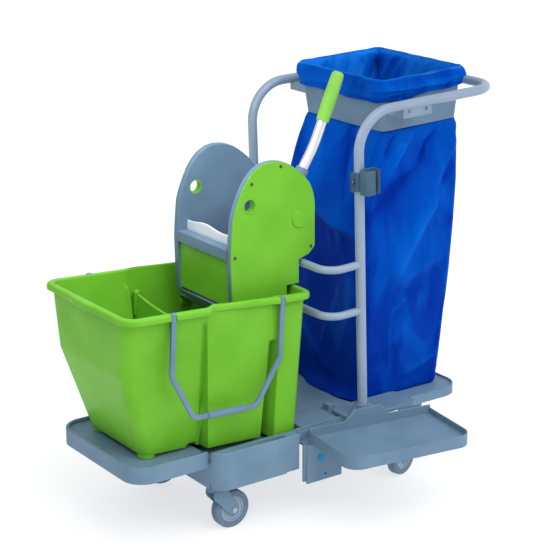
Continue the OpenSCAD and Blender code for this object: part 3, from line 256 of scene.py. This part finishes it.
def lofted(shape, sections):
    """Joins loops of points into one skin. Gives the edges of the first and of the last loop."""
    loops = []
    for points in sections:
        ring = [shape.verts.new(point) for point in points]
        edges = [shape.edges.new(pair) for pair in zip(ring, ring[1:] + ring[:1])]
        if loops:
            bmesh.ops.bridge_loops(shape, edges=loops[-1] + edges)
        loops.append(edges)
    return loops[0], loops[-1]


def sack_ring(left, right, half_w, corner):
    """Points round a sack section: place, way outwards, distance round from the back left and to a corner."""
    points = []
    sides = [(Vector((left, half_w)), Vector((-1, 0)), Vector((0, -1)), 60, 2 * half_w),
             (Vector((left, -half_w)), Vector((0, -1)), Vector((1, 0)), 52, right - left),
             (Vector((right, -half_w)), Vector((1, 0)), Vector((0, 1)), 60, 2 * half_w),
             (Vector((right, half_w)), Vector((0, 1)), Vector((-1, 0)), 52, right - left)]
    gone = 0.0
    for start, out, along, steps, length in sides:
        for i in range(steps):
            run = corner + (length - 2 * corner) * i / steps
            points.append((start + along * run, out, gone + run, min(run, length - run)))
        pivot = start + along * (length - corner) - out * corner
        for i in range(8):
            turn = math.pi / 2 * i / 8
            way = out * math.cos(turn) + along * math.sin(turn)
            points.append((pivot + way * corner, way, gone + length - corner + corner * turn, 0))
        gone += length
    return points


def between(table, z):
    """Straight reading between the rows of a table of heights with the values at each height."""
    for low, high in zip(table, table[1:]):
        if z <= high[0]:
            break
    t = min(max((z - low[0]) / (high[0] - low[0]), 0.0), 1.0)
    return [a + (b - a) * t for a, b in zip(low[1:], high[1:])]


def ease(a, b, at, width, x):
    """Passes from a to b over the width round a place."""
    t = min(max((x - at) / width + 0.5, 0), 1)
    return a + (b - a) * t * t * (3 - 2 * t)


def crease(x, y, z):
    """Rounded valleys with sharper ridges, as thin film folds, from 0 to 1."""
    return (1 - abs(noise.noise(Vector((x, y, z))))) ** 2


def facets(run, z):
    """Flat facets that meet in straight creases, as taut film takes up its slack, in millimetres."""
    drift = 0.4 * noise.noise(Vector((run / 230, z / 230, 3.0)))
    rise = 0
    # Direction of the slope, distance between the creases and depth
    for along, up, apart, depth in ((1, 0.8, 250, 7), (1, -0.45, 180, 5)):
        t = (run * along + z * up) / math.hypot(along, up) / apart + drift
        rise += depth * (abs(t - round(t)) * 2 - 0.5)
    return rise


# Long folds: distance round and height of both ends, width, depth, and whether one flank is steep
folds = [(518, 940, 508, 846, 20, -18, 0), (514, 856, 330, 696, 34, -22, 0), (626, 800, 418, 532, 62, 22, 1),
         (600, 590, 408, 528, 60, 12, 1), (371, 955, 374, 878, 8, -20, 0), (440, 960, 400, 800, 44, 14, 1),
         (626, 900, 570, 770, 26, 12, 1), (622, 830, 588, 742, 9, -10, 0), (480, 500, 402, 452, 12, 8, 1),
         (470, 430, 350, 330, 60, 9, 1), (575, 316, 425, 262, 26, 12, 1), (620, 560, 540, 330, 50, 10, 1),
         (330, 672, 20, 742, 70, 20, 1), (40, 400, 185, 256, 22, 16, 0), (120, 330, 250, 560, 44, 12, 1),
         (60, 930, 130, 700, 30, 9, 1), (200, 930, 262, 730, 18, -12, 0), (300, 600, 250, 380, 34, 11, 1),
         (760, 920, 1010, 520, 50, 16, 1), (820, 620, 1000, 340, 44, 13, 1), (980, 900, 860, 640, 30, -12, 0),
         (1060, 930, 1290, 560, 46, 16, 1), (1120, 600, 1330, 380, 40, -13, 1),
         (1240, 420, 1080, 262, 30, 12, 1)]


def folded(run, z):
    """How far the long folds push the film out at a place, in millimetres."""
    push = 0
    for r0, z0, r1, z1, width, depth, sided in folds:
        line = Vector((r1 - r0, z1 - z0))
        at = Vector((run - r0, z - z0))
        t = at.dot(line) / line.length_squared
        off = at.cross(line) / line.length / (width * (0.7 + 0.6 * t))
        fade = ease(0, 1, 0.1, 0.4, t) * ease(1, 0, 0.9, 0.4, t)
        slope = 1.3 if not sided else 0.9 if off > 0 else 4.5
        push += depth * fade * math.exp(-slope * abs(off))
    return push


# The collar under the cuff: middle and half sizes at its lower edge, flare, reach below and above the rail
collar_mid, collar_half_l, collar_half_w, collar_corner = 252, 126, 162, 22
collar_flare, collar_drop, collar_rise, rail = 12, 78, 54, 758
# Cuff from its hem up, over the rim and down inside: how far it stands off the collar, and its height
cuff = [(14.6 - 0.24 * (height - 8), height) for height in range(8, 53, 2)]
cuff += [(2.4, 54.9), (0.4, 56.4), (-1.7, 56.5), (-3.7, 54.9), (-5.2, 50.5), (-6.2, 43), (-6.8, 30)]
cuff += [(-6.8, 14), (-6.8, -4), (-6.8, -22), (-6.8, -40), (-6.8, -58)]
cuff += [(-6.6, -72), (-5.4, -79.5), (-2.6, -80.6)]
# Layers of the cuff that lie over each other: distance round and height of both ends, depth and reach up
layers = [(120, 24, 400, 15, 4.5, 16), (290, 33, 650, 20, 5.5, 15), (350, 17, 700, 34, 5, 13),
          (420, 13, 640, 25, 4, 9), (10, 17, 230, 29, 5, 15), (690, 20, 900, 28, 5, 14),
          (880, 31, 1060, 17, 5, 14), (1040, 18, 1330, 28, 5, 14)]


def layered(run, height):
    """How far the layers of the cuff push its film out: each swells down to its edge and ends there."""
    push = 0
    for r0, h0, r1, h1, depth, reach in layers:
        t = (run - r0) / (r1 - r0)
        over = height - h0 - (h1 - h0) * t - 2.5 * noise.noise(Vector((run / 45, depth, 6.0)))
        rise = 1 - over / reach if over > 0 else 1 + over / 2.5
        push += depth * max(rise, 0) * ease(0, 1, 0.1, 0.2, t) * ease(1, 0, 0.9, 0.2, t)
    return push


# Painted light and shade on the film at each point, from 0 for painted shade in folds to 1 for painted light
# on ridges, along the crest and inside
sections, painted_light_and_shade = [], []
for stand, height in cuff:
    flare = collar_flare * (height + collar_drop) / (collar_drop + collar_rise)
    half_l, half_w = collar_half_l + flare + stand, collar_half_w + flare + stand
    loop = []
    for spot, out, run, corner in sack_ring(collar_mid - half_l, collar_mid + half_l, half_w,
                                            max(collar_corner + stand, 14)):
        push = lift = 0
        if stand > 1:
            bunch = crease(run / 90 + height / 70, height / 45, 3.0) - 0.62
            bulge = math.exp(-(corner / 40) ** 2) * ease(-0.2, 1, 22, 30, height) * ease(1, 0, 53, 14, height)
            push = 5 * bunch * min(stand / 12, 1) + 9 * bulge + layered(run, height) - 3
            # The hem hangs lower at the wringer's end and waves
            hem = min(max((40 - height) / 30, 0), 1)
            tilt = 13 * (spot.x - collar_mid) / (2 * (collar_half_l + collar_flare))
            lift = hem * (tilt - 2 + 5 * noise.noise(Vector((run / 70, 2.0, 7.0))))
        elif stand < -6:
            # Slack inside gathers in the far corner
            far = math.exp(-((spot.x - 390) ** 2 + (spot.y - 174) ** 2) / 150 ** 2)
            push = -(7 + 16 * far) * (1 - crease(run / 44, height / 210, 5.0))
        if height > 50:
            peak = math.exp(-((spot.x - 384) ** 2 + (spot.y - 172) ** 2) / 22 ** 2)
            ragged = noise.noise(Vector((run / 8, 4.0, 1.0)))
            lift += 1.5 * peak + 1.5 * abs(ragged) + 2.2 * abs(noise.noise(Vector((run / 60, 3.0, 1.0))))
        spot = spot + out * push
        loop.append(leaned(spot.x, spot.y, rail + height + lift))
        # Painted light and shade on the cuff: darker where its layers sink, a painted highlight along the
        # crest, and painted light inside that is darker in the pleats
        painted_light_and_shade.append((0.3 + 0.02 * push if height < 54 else 0.7) if stand > -4 else 0.95 + 0.05 * push)
    sections.append(loop)

# Body of the sack from the deck up: height with the left side, the right side and the half width
sack_body = [(224.6, -2, 268, 138), (229, -5, 270.5, 142), (238, -6, 271.5, 144), (260, -6, 272.5, 147),
             (340, -6, 277, 154), (474, -7, 284, 165), (600, -12, 290, 172), (690, -18, 292.5, 177),
             (745, -17, 294.5, 178), (797, -11, 296.5, 178), (860, 7, 298.5, 175), (905, 22, 299.5, 170.5),
             (935, 34, 298.5, 166), (951, 42, 294.5, 161.8)]
top, deck, rings = 951.6, 224.8, 112
for step in range(rings):
    z = top - (top - deck) * (step / (rings - 1)) ** 1.06
    left, right, half_w = between(sack_body, z)
    # Only the upper part leans with the push frame
    lean_share = ease(0, 1, 830, 240, z)
    under = top - z
    loop = []
    for spot, out, run, corner in sack_ring(left, right, half_w, 24):
        quiet = min(max((z - 226) / 30, 0), 1) * min(under / 46, 1)
        calm = 0.3 + 0.7 * ease(0, 1, 40, 64, corner)
        foot = math.exp(-(z - deck) / 42)
        relief = folded(run, z) + facets(run, z)
        # Painted shade on the lower part of the left side; painted light on the ridges and on the upper part,
        # painted shade in the folds
        left_side_painted_shade = ease(1, 0, 320, 40, run) * ease(1, 0, 734 - 0.226 * run, 36, z)
        painted_light_and_shade.append(0.04 + relief / 50 + ease(0, 0.22, 760, 330, z) - 0.14 * left_side_painted_shade)
        push = quiet * calm * (relief - 8)
        gather = math.exp(-under / 40) * (1 - math.exp(-under / 3))
        push += 3.2 * gather * (crease(run / 46, z / 260, 2.0) - 0.1)
        push += 4 * foot * quiet * (crease(run / 70, z / 30, 4.0) - 1)
        # The foot of the left side spreads on the deck
        spread = ease(0, 1, 60, 90, run) * ease(1, 0, 262, 100, run)
        ripple = 0.85 + 0.3 * noise.noise(Vector((run / 50, 1.0, 5.0)))
        push += 30 * spread * math.exp(-(z - deck) / 15) * ripple
        # A swelling eases off past 8 mm, except where the foot spreads
        spot = spot + out * (push if push < 8 or spread > 0 else 8 + 3 * (1 - math.exp((8 - push) / 3)))
        loop.append(cart(spot.x, spot.y, z + lean_share * (spot.x - 168) * math.tan(frame_lean)))
    sections.append(loop)
sections.append([cart(spot.x, spot.y, 224.5) for spot, out, run, corner in sack_ring(30, 226, 100, 24)])
painted_light_and_shade += [0.3] * len(sections[-1])
film = bmesh.new()
bmesh.ops.edgeloop_fill(film, edges=lofted(film, sections)[1])
bmesh.ops.recalc_face_normals(film, faces=film.faces)
film_mesh = bpy.data.meshes.new("waste_sack_film")
film.to_mesh(film_mesh)
film.free()
film_mesh.attributes.new("painted_light_and_shade", "FLOAT", "POINT").data.foreach_set("value", painted_light_and_shade)

# The film's blue is darkened by painted shade in its folds and on the lower left side, and lightened by
# painted light on ridges, on its upper part, along the crest and inside; it has almost no gloss
blue_film = bpy.data.materials.new("blue_polyethylene_film")
blue_film.use_nodes = True
tree = blue_film.node_tree
shader = tree.nodes["Principled BSDF"]
place = add_node(tree, "ShaderNodeTexCoord").outputs["Object"]
painted_light_input = add_node(tree, "ShaderNodeAttribute", attribute_name="painted_light_and_shade")
# Painted highlights in crisp patches, as crumpled film catches the light, about 80 mm across and twice as
# tall
tall = add_node(tree, "ShaderNodeMapping", {"Vector": place, "Scale": (1.0, 1.0, 0.45)}).outputs["Vector"]
patch = add_node(tree, "ShaderNodeTexNoise", {"Vector": tall, "Scale": 1 / 0.08, "Detail": 4.0,
                                              "Distortion": 0.7})
painted_highlight_patches = add_node(tree, "ShaderNodeMapRange", {"Value": patch.outputs["Fac"], "From Min": 0.44,
                                              "From Max": 0.58})
painted_light_level = add_node(tree, "ShaderNodeMath", {0: painted_highlight_patches.outputs["Result"], 1: 0.22, 2: painted_light_input.outputs["Fac"]},
                 operation="MULTIPLY_ADD")
dye_and_painted_light = add_node(tree, "ShaderNodeValToRGB", {"Fac": painted_light_level.outputs["Value"]})
dye_and_painted_light.color_ramp.elements.new(0.65)
for stop, tint in zip(dye_and_painted_light.color_ramp.elements, ("#002f9c", "#005cc6", "#157cf0")):
    stop.color = linear(tint)
dye_and_painted_light.color_ramp.elements[0].position = 0.05
tree.links.new(dye_and_painted_light.outputs["Color"], shader.inputs["Base Color"])
# Fine creases of the film, about 14 mm apart and drawn out upwards
fine = add_node(tree, "ShaderNodeTexNoise", {"Vector": tall, "Scale": 1 / 0.014, "Detail": 3.0,
                                             "Distortion": 0.8})
bump = add_node(tree, "ShaderNodeBump", {"Height": fine.outputs["Fac"], "Strength": 0.12, "Distance": 0.003})
# Crumples with a sharp ridge, about 60 mm apart
crumple = add_node(tree, "ShaderNodeTexNoise", {"Vector": tall, "Scale": 1 / 0.06, "Detail": 1.5,
                                                "Distortion": 0.4}, noise_type="RIDGED_MULTIFRACTAL")
ridged = add_node(tree, "ShaderNodeBump", {"Height": crumple.outputs["Fac"], "Strength": 0.8,
                                           "Distance": 0.012, "Normal": bump.outputs["Normal"]})
tree.links.new(ridged.outputs["Normal"], shader.inputs["Normal"])
shader.inputs["Roughness"].default_value = 0.5
shader.inputs["Specular IOR Level"].default_value = 0.015
# Light comes through the film, so its inside and its shaded side stay bright
shader.inputs["Subsurface Weight"].default_value = 0.7
shader.inputs["Subsurface Radius"].default_value = (0.3, 0.6, 1.0)
shader.inputs["Subsurface Scale"].default_value = 0.004
sack = piece_of(film_mesh, "chassis", "blue_film", blue_film, "waste_sack", turn=180)
wall = sack.modifiers.new("film_wall", "SOLIDIFY")
wall.thickness = 0.001
wall.offset = -1

# Bucket
# A lime-green polypropylene bucket moulded in one piece: a small compartment that tapers to its foot, a large
# one with a proud panel and an upright end, a slim rolled lip with notches for the bails, and a low divider.
green_plastic = moulded_plastic("green_polypropylene", "#69b12c", "#71ba33", 0.34, 1.0)
bucket_x, bucket_z, rim_top = -650, 221.975, 385
bucket_lean = math.radians(3)


def tilted(x, y, z):
    """A point of the leaning bucket: x from its left feet and z up from them."""
    return cart(bucket_x + x * math.cos(bucket_lean) + z * math.sin(bucket_lean), y,
                bucket_z - x * math.sin(bucket_lean) + z * math.cos(bucket_lean))


def bucket_plan(left, right, end_half, side_half, left_round, right_round, panel, spout):
    """Plan of the bucket at one level: the end with its spout, both sides, and the upright end."""
    flat = end_half - left_round
    front = [(left - spout * ease(1, 0, 45, 40, flat * t), -flat * t)
             for t in (0, 0.08, 0.16, 0.22, 0.26, 0.3, 0.34, 0.38, 0.44, 0.6, 0.8)]
    for i in range(13):
        turn = math.pi / 2 * i / 12
        front.append((left + left_round - left_round * math.cos(turn), -flat - left_round * math.sin(turn)))
    start, stop = left + left_round, right - right_round
    along = [start + (13 - start) * t for t in (0.35, 0.7)] + [13, 13.4, 13.8, 28.2, 28.6, 29]
    along += [29 + (panel - 75) * t for t in (0.33, 0.67)] + [panel - 46, panel - 38]
    along += [panel + d for d in (-14, -9, -6, -3, -1.2, 0, 1.2, 3, 6, 10)]
    along += [panel + 10 + (293 - panel) * t for t in (0.2, 0.4, 0.6, 0.8, 1)]
    along += [308, 312, 315, 317, 319, 321, 323, 326, 329, 329.4, 329.8, 332, 335, 337, 339, 341]
    along += [343.9, 344.3, 344.7]
    along += [352 + (stop - 352) * t for t in (0, 0.5)]
    front += [(x, -side_half(x)) for x in along]
    last = right_round - side_half(stop)
    for i in range(13):
        turn = math.pi / 2 * i / 12
        front.append((stop + right_round * math.sin(turn), last - right_round * math.cos(turn)))
    front += [(right, last * (1 - t)) for t in (0.33, 0.67, 1)]
    return front + [(x, -y) for x, y in reversed(front[1:-1])]


def wall_plan(z, inset):
    """Plan of the bucket's wall at a height, moved inwards by inset."""
    up = z / rim_top
    small, left, left_round = between([(8, 130, -12, 24), (226, 165.2, -90, 30), (rim_top, 190, -100, 30)], z)
    panel, large = 158 - 37 * up, 160 + 30 * up
    # The panel stands out behind a groove and ends in a round shoulder below the lip
    proud = ease(1, 0, 343, 14, z)
    slot = ease(small - 9, 185, 267, 12, z)

    def side(x):
        if x < 230:
            groove = 5.5 * proud * ease(0, 1, panel - 9, 10, x) * ease(1, 0, panel, 3, x)
            return ease(small, large, panel, 14 - 11 * proud, x) - groove - inset
        if x < 327:
            return ease(large, slot, 319, 8, x) - inset
        return ease(slot, 184 + 6 * up, 338, 8, x) - inset

    return bucket_plan(left + inset, 414 + 8 * up - inset, small - inset, side, left_round - inset,
                       24 - inset, panel, 0)


def lip_plan(inset):
    """Plan of the lip: full at both ends, stepped in beside the wringer and cut for the bails."""
    def side(x):
        if 13.6 < x < 28.4 or 329.6 < x < 344.1:
            return 190.5
        widening = 7 * max(min(x, 312) - 140, 0) / 172
        return (ease(204, 193, 130.5, 19, x) + widening + ease(0, 4, 318.5, 13, x)) - inset

    return bucket_plan(-114 + inset, 436 - inset, 204 - inset, side, 44 - inset, 38 - inset, 130, 6)


def raised(x, z):
    """Height of a bucket point: the lip arches beside the wringer, the foot is cut away below the divider."""
    arch = 4.5 * ease(0, 1, 130.5, 19, x) * max(312 - x, 0) / 172 * ease(0, 1, 330, 60, z)
    return z + arch + 12 * ease(0, 1, 116, 10, x) * ease(1, 0, 151, 10, x) * max(1 - z / 60, 0)


# The skin from the middle of the foot up outside, round the lip and down inside: plans and heights
bucket_wall = 4
walls = [13, 24, 40, 80, 120, 160, 200, 217, 226, 235, 250, 258, 263, 267, 271, 276, 300, 320, 332, 338, 343,
         348, 354, 364]
levels = [(wall_plan(8, 16), 8.3), (wall_plan(8, 5), 8), (wall_plan(9, 1.5), 9.3)]
levels += [(wall_plan(z, 0), z) for z in walls]
levels += [(wall_plan(380, 0), 380.4), (lip_plan(3), 380.1), (lip_plan(3), 370.6), (lip_plan(2.3), 369.3),
           (lip_plan(0.9), 369), (lip_plan(0), 370.4), (lip_plan(0), 376.5), (lip_plan(0.6), 379.6),
           (lip_plan(2), 382.2), (lip_plan(4.4), 384.1), (lip_plan(7.5), 384.9), (wall_plan(385, 0.6), 385),
           (wall_plan(384, 2.6), 384.4), (wall_plan(382, 3.7), 382.8), (wall_plan(380, bucket_wall), 380)]
levels += [(wall_plan(z, bucket_wall), z) for z in reversed(walls[1:])]
levels += [(wall_plan(20, bucket_wall), 20), (wall_plan(14, 5.5), 14), (wall_plan(12, 9), 12.2),
           (wall_plan(12, 16), 12)]
shell = bmesh.new()
for edges in lofted(shell, [[tilted(x, y, raised(x, z)) for x, y in plan] for plan, z in levels]):
    bmesh.ops.edgeloop_fill(shell, edges=edges)
bmesh.ops.recalc_face_normals(shell, faces=shell.faces)

# Divider: a plate whose top edge dips between two round posts, moulded into the walls
divider = [(-129, 11), (129, 11)] + [(y, 328 - 22 * (1 - (y / 184) ** 2)) for y in range(184, -185, -16)]
plate = shell.faces.new([shell.verts.new(tilted(142, y, z)) for y, z in divider])
grown = bmesh.ops.extrude_face_region(shell, geom=[plate])["geom"]
bmesh.ops.translate(shell, verts=[v for v in grown if isinstance(v, bmesh.types.BMVert)],
                    vec=tilted(150, 0, 0) - tilted(142, 0, 0))
upright = (tilted(0, 0, 1) - tilted(0, 0, 0)).to_track_quat("Z", "Y").to_matrix().to_4x4()
# The posts and the four feet: middle, radius, both ends, and the rounding of the ends
studs = ((146, 170, 9, 262, 334, 7.5), (11, 107, 22, 0, 14, 2), (391, 146, 14, 0, 10, 2))
for x, y, radius, low, high, dome in studs:
    for side in (-1, 1):
        middle = Matrix.Translation(tilted(x, side * y, (low + high) / 2))
        stud = bmesh.ops.create_cone(shell, cap_ends=True, segments=32, radius1=radius / 1000,
                                     radius2=radius / 1000, depth=(high - low) / 1000,
                                     matrix=middle @ upright)["verts"]
        rims = [e for v in stud for e in v.link_edges if len(e.link_faces) == 2 and e.calc_face_angle() > 1]
        bmesh.ops.bevel(shell, geom=list(dict.fromkeys(rims)), offset=dome / 1000, affect="EDGES", segments=5,
                        profile=0.5, material=-1)
# Ledges inside the large compartment that carry the wringer
for side in (-1, 1):
    bmesh.ops.create_cube(shell, size=1, matrix=Matrix.Translation(cart(-339, side * 172.7, 490.7))
                          @ Matrix.Diagonal((0.026, 0.012, 0.018, 1)))
bucket_mesh = bpy.data.meshes.new("bucket_shell")
shell.to_mesh(bucket_mesh)
shell.free()
piece_of(bucket_mesh, "bucket", "green_polypropylene", green_plastic, "bucket", turn=38)

# Bails
# Two grey carrying bails that hang from pins in the lip, one on each side: a moulded strap with a round grip
# in its straight lower run, and rounded caps over its eyes that show above the lip.
for side, sign in (("front", -1), ("back", 1)):
    rounded("bail_" + side, "bail_" + side, "grey_polypropylene", grey_plastic,
            (0.0034, lambda x, y, z: z < 575 and abs(abs(x + 465) - 52) > 6))
    caps = bmesh.new()
    for eye_x in (21, 337):
        eye = Matrix.Translation(tilted(eye_x, sign * 197.7, 380.7))
        bmesh.ops.create_cube(caps, size=1, matrix=eye @ upright @ Matrix.Diagonal((0.0134, 0.013, 0.011, 1)))
    bmesh.ops.bevel(caps, geom=list(caps.edges), offset=0.0022, affect="EDGES", segments=4, profile=0.5,
                    material=-1)
    caps_mesh = bpy.data.meshes.new("bail_caps_" + side)
    caps.to_mesh(caps_mesh)
    caps.free()
    piece_of(caps_mesh, "bail_" + side, "grey_polypropylene", grey_plastic)

# Wringer stand
# Two grey gear housings with green covers stand on the bucket's rim, and a drain tray on ledges inside it.
# A crossbar, a white strainer plate and a green splash panel tie them together. The covers are screwed on.

# Finger hole, lever bore, jaw bore and the cover's four screws: middle and the room round each
bores = [(-341, 810, 24), (-191, 754, 26), (-238, 668, 20), (-248, 896, 7), (-335, 864, 7), (-386, 686, 7),
         (-155, 678, 7)]


def off_bores(x, z):
    """True where a side plate has no bore or screw."""
    return all(math.hypot(x - bore_x, z - bore_z) > room for bore_x, bore_z, room in bores)


# The side plates are slimmer than the true arc: height, and how far the rim comes in, left and right
arch_lean = [(600, 0, 0), (690, 5, 0), (720, 8.5, 0), (750, 13, 0), (778, 17.5, 0), (800, 21.5, 0),
             (825, 25, 0), (845, 24.5, 0.5), (853, 23.5, 2.5), (865, 21, 5), (875, 19, 7), (885, 16, 8),
             (895, 12, 7), (905, 7, 4), (912, 0, 0)]
arch_bends = (660, 690, 710, 730, 750, 765)
arch_x, arch_z = -275, 778


def leaning_arch(x, y, z):
    """How far a point on the rim of a side plate moves along the cart, in millimetres."""
    inside = math.hypot(x - arch_x, z - arch_z) < 126 if z > arch_z else x > -396
    left, right = between(arch_lean, z)
    return 0 if inside else left if x < arch_x else -right


white_plastic = moulded_plastic("white_polypropylene", "#e3e9ee", "#eef2f5", 0.4, 1.0)
dark_steel = bpy.data.materials.new("blackened_steel")
dark_steel.use_nodes = True
tree = dark_steel.node_tree
place = add_node(tree, "ShaderNodeTexCoord").outputs["Object"]
# Oil blackening that is uneven every 2 mm or so
oil = add_node(tree, "ShaderNodeTexNoise", {"Vector": place, "Scale": 1 / 0.002, "Detail": 3.0})
black = add_node(tree, "ShaderNodeValToRGB", {"Fac": oil.outputs["Fac"]})
black.color_ramp.elements[0].color = linear("#3c4640")
black.color_ramp.elements[1].color = linear("#59645c")
tree.links.new(black.outputs["Color"], tree.nodes["Principled BSDF"].inputs["Base Color"])
tree.nodes["Principled BSDF"].inputs["Metallic"].default_value = 1.0
tree.nodes["Principled BSDF"].inputs["Roughness"].default_value = 0.45
for side in ("front", "back"):
    rounded("housing_" + side, "wringer", "grey_polypropylene", grey_plastic,
            (0.003, lambda x, y, z: abs(y) < 110.5 and off_bores(x, z)), lean=leaning_arch, bends=arch_bends)
    rounded("cover_" + side, "wringer", "green_polypropylene", green_plastic,
            (0.002, lambda x, y, z: 128.8 < abs(y) < 129.2 and off_bores(x, z)),
            (0.003, lambda x, y, z: abs(y) > 132.8), (0.001, lambda x, y, z: 129.8 < abs(y) < 130.2),
            lean=leaning_arch, bends=arch_bends)
rounded("cover_screws", "wringer", "steel", dark_steel, (0.0005, everywhere))
rounded("wringer_tray", "wringer", "grey_polypropylene", grey_plastic)
rounded("wringer_crossbar", "wringer", "grey_polypropylene", grey_plastic,
        (0.0015, lambda x, y, z: abs(y) < 109))
rounded("strainer_plate", "wringer", "white_polypropylene", white_plastic, (0.002, lambda x, y, z: z > 715))
rounded("splash_panel", "wringer", "green_polypropylene", green_plastic,
        (0.0015, lambda x, y, z: abs(y) < 109))

# Press jaw and lever
# A ribbed jaw swings on a steel shaft against the strainer. Gear pairs in the housings drive it from the
# lever, a bent tube of bright drawn aluminium in a moulded hub, with a green grip pushed on.
acetal = moulded_plastic("natural_acetal", "#e4e0d2", "#ede9dd", 0.34, 0.8)
rounded("press_jaw", "jaw", "grey_polypropylene", grey_plastic, (0.0006, everywhere))
rounded("jaw_shaft", "jaw", "steel", steel)
rounded("lever_shaft", "lever", "steel", steel)
for side in ("front", "back"):
    rounded("jaw_gear_" + side, "jaw", "natural_acetal", acetal)
    rounded("lever_gear_" + side, "lever", "natural_acetal", acetal)
rounded("lever_hub", "lever", "grey_polypropylene", grey_plastic, (0.001, everywhere))

aluminium = bpy.data.materials.new("bright_aluminium")
aluminium.use_nodes = True
tree = aluminium.node_tree
shader = tree.nodes["Principled BSDF"]
place = add_node(tree, "ShaderNodeTexCoord").outputs["Object"]
# Drawing lines along the tube are about 1 mm apart and run for many times that
drawn = add_node(tree, "ShaderNodeMapping", {"Vector": place, "Rotation": (0.0, math.radians(-28), 0.0),
                                             "Scale": (1.0, 1.0, 0.01)})
lines = add_node(tree, "ShaderNodeTexNoise", {"Vector": drawn.outputs["Vector"], "Scale": 1 / 0.001,
                                              "Detail": 2.0})
polish = add_node(tree, "ShaderNodeMapRange", {"Value": lines.outputs["Fac"], "To Min": 0.3, "To Max": 0.4})
tree.links.new(polish.outputs["Result"], shader.inputs["Roughness"])
shader.inputs["Base Color"].default_value = linear("#f6f9fb")
shader.inputs["Metallic"].default_value = 1.0
rounded("lever_tube", "lever", "bright_aluminium", aluminium)
grip_plastic = moulded_plastic("green_soft_grip", "#7ec04b", "#8bca57", 0.34, 0.8)
rounded("lever_grip", "lever", "green_polypropylene", grip_plastic, (0.002, everywhere))

# Studio
# A plain pale floor that glows a little, so that only contact shadows show, a broad soft key from the front
# right, a fill from the front left, a pale surround that is brighter on the right, and the camera.
floor_mesh = bpy.data.meshes.new("floor")
sheet = bmesh.new()
bmesh.ops.create_grid(sheet, x_segments=1, y_segments=1, size=30)
sheet.to_mesh(floor_mesh)
sheet.free()
floor = bpy.data.objects.new("floor", floor_mesh)
bpy.context.collection.objects.link(floor)
paper = bpy.data.materials.new("white_paper")
paper.use_nodes = True
shader = paper.node_tree.nodes["Principled BSDF"]
shader.inputs["Base Color"].default_value = linear("#a9aaac")
shader.inputs["Roughness"].default_value = 0.9
shader.inputs["Emission Color"].default_value = linear("#ffffff")
shader.inputs["Emission Strength"].default_value = 0.66
floor_mesh.materials.append(paper)

world = bpy.data.worlds.new("surround")
bpy.context.scene.world = world
world.use_nodes = True
tree = world.node_tree
sky = add_node(tree, "ShaderNodeTexCoord").outputs["Generated"]
way = add_node(tree, "ShaderNodeSeparateXYZ", {"Vector": sky})
fall = add_node(tree, "ShaderNodeMapRange", {"Value": way.outputs["X"], "From Min": -1.0, "From Max": 1.0,
                                             "To Min": 0.35, "To Max": 1.0})
tree.links.new(fall.outputs["Result"], tree.nodes["Background"].inputs["Strength"])
tree.nodes["Background"].inputs["Color"].default_value = linear("#ffffff")

for name, energy, direction in (("key", 0.95, (-0.2, 0.8, -0.85)), ("fill", 0.75, (0.45, 0.55, -1.0))):
    softbox = bpy.data.lights.new(name, "SUN")
    softbox.energy = energy
    softbox.angle = math.radians(45)
    lamp = bpy.data.objects.new(name, softbox)
    lamp.rotation_euler = Vector(direction).to_track_quat("-Z", "Y").to_euler()
    bpy.context.collection.objects.link(lamp)
# A small lamp over the bucket opens up its inside
softbox = bpy.data.lights.new("bucket_lamp", "AREA")
softbox.energy = 2.2
softbox.size = 0.5
lamp = bpy.data.objects.new("bucket_lamp", softbox)
lamp.location = cart(-540, -120, 1200)
lamp.rotation_euler = (cart(-520, 60, 500) - lamp.location).to_track_quat("-Z", "Y").to_euler()
lamp.visible_camera = False
bpy.context.collection.objects.link(lamp)

# The lens, place and direction that line the cart up with the photograph
lens = bpy.data.cameras.new("photo_camera")
lens.lens = 109.8
lens.sensor_width = 36
lens.clip_end = 100
camera = bpy.data.objects.new("photo_camera", lens)
azimuth, rise = math.radians(-35.9), math.radians(17.5)
looking = Vector((-math.sin(azimuth) * math.cos(rise), math.cos(azimuth) * math.cos(rise), -math.sin(rise)))
camera.location = cart(-2631.5, -3418.4, 1886.2)
camera.rotation_euler = looking.to_track_quat("-Z", "Y").to_euler()
bpy.context.collection.objects.link(camera)
bpy.context.scene.camera = camera
bpy.context.scene.view_settings.view_transform = "Standard"
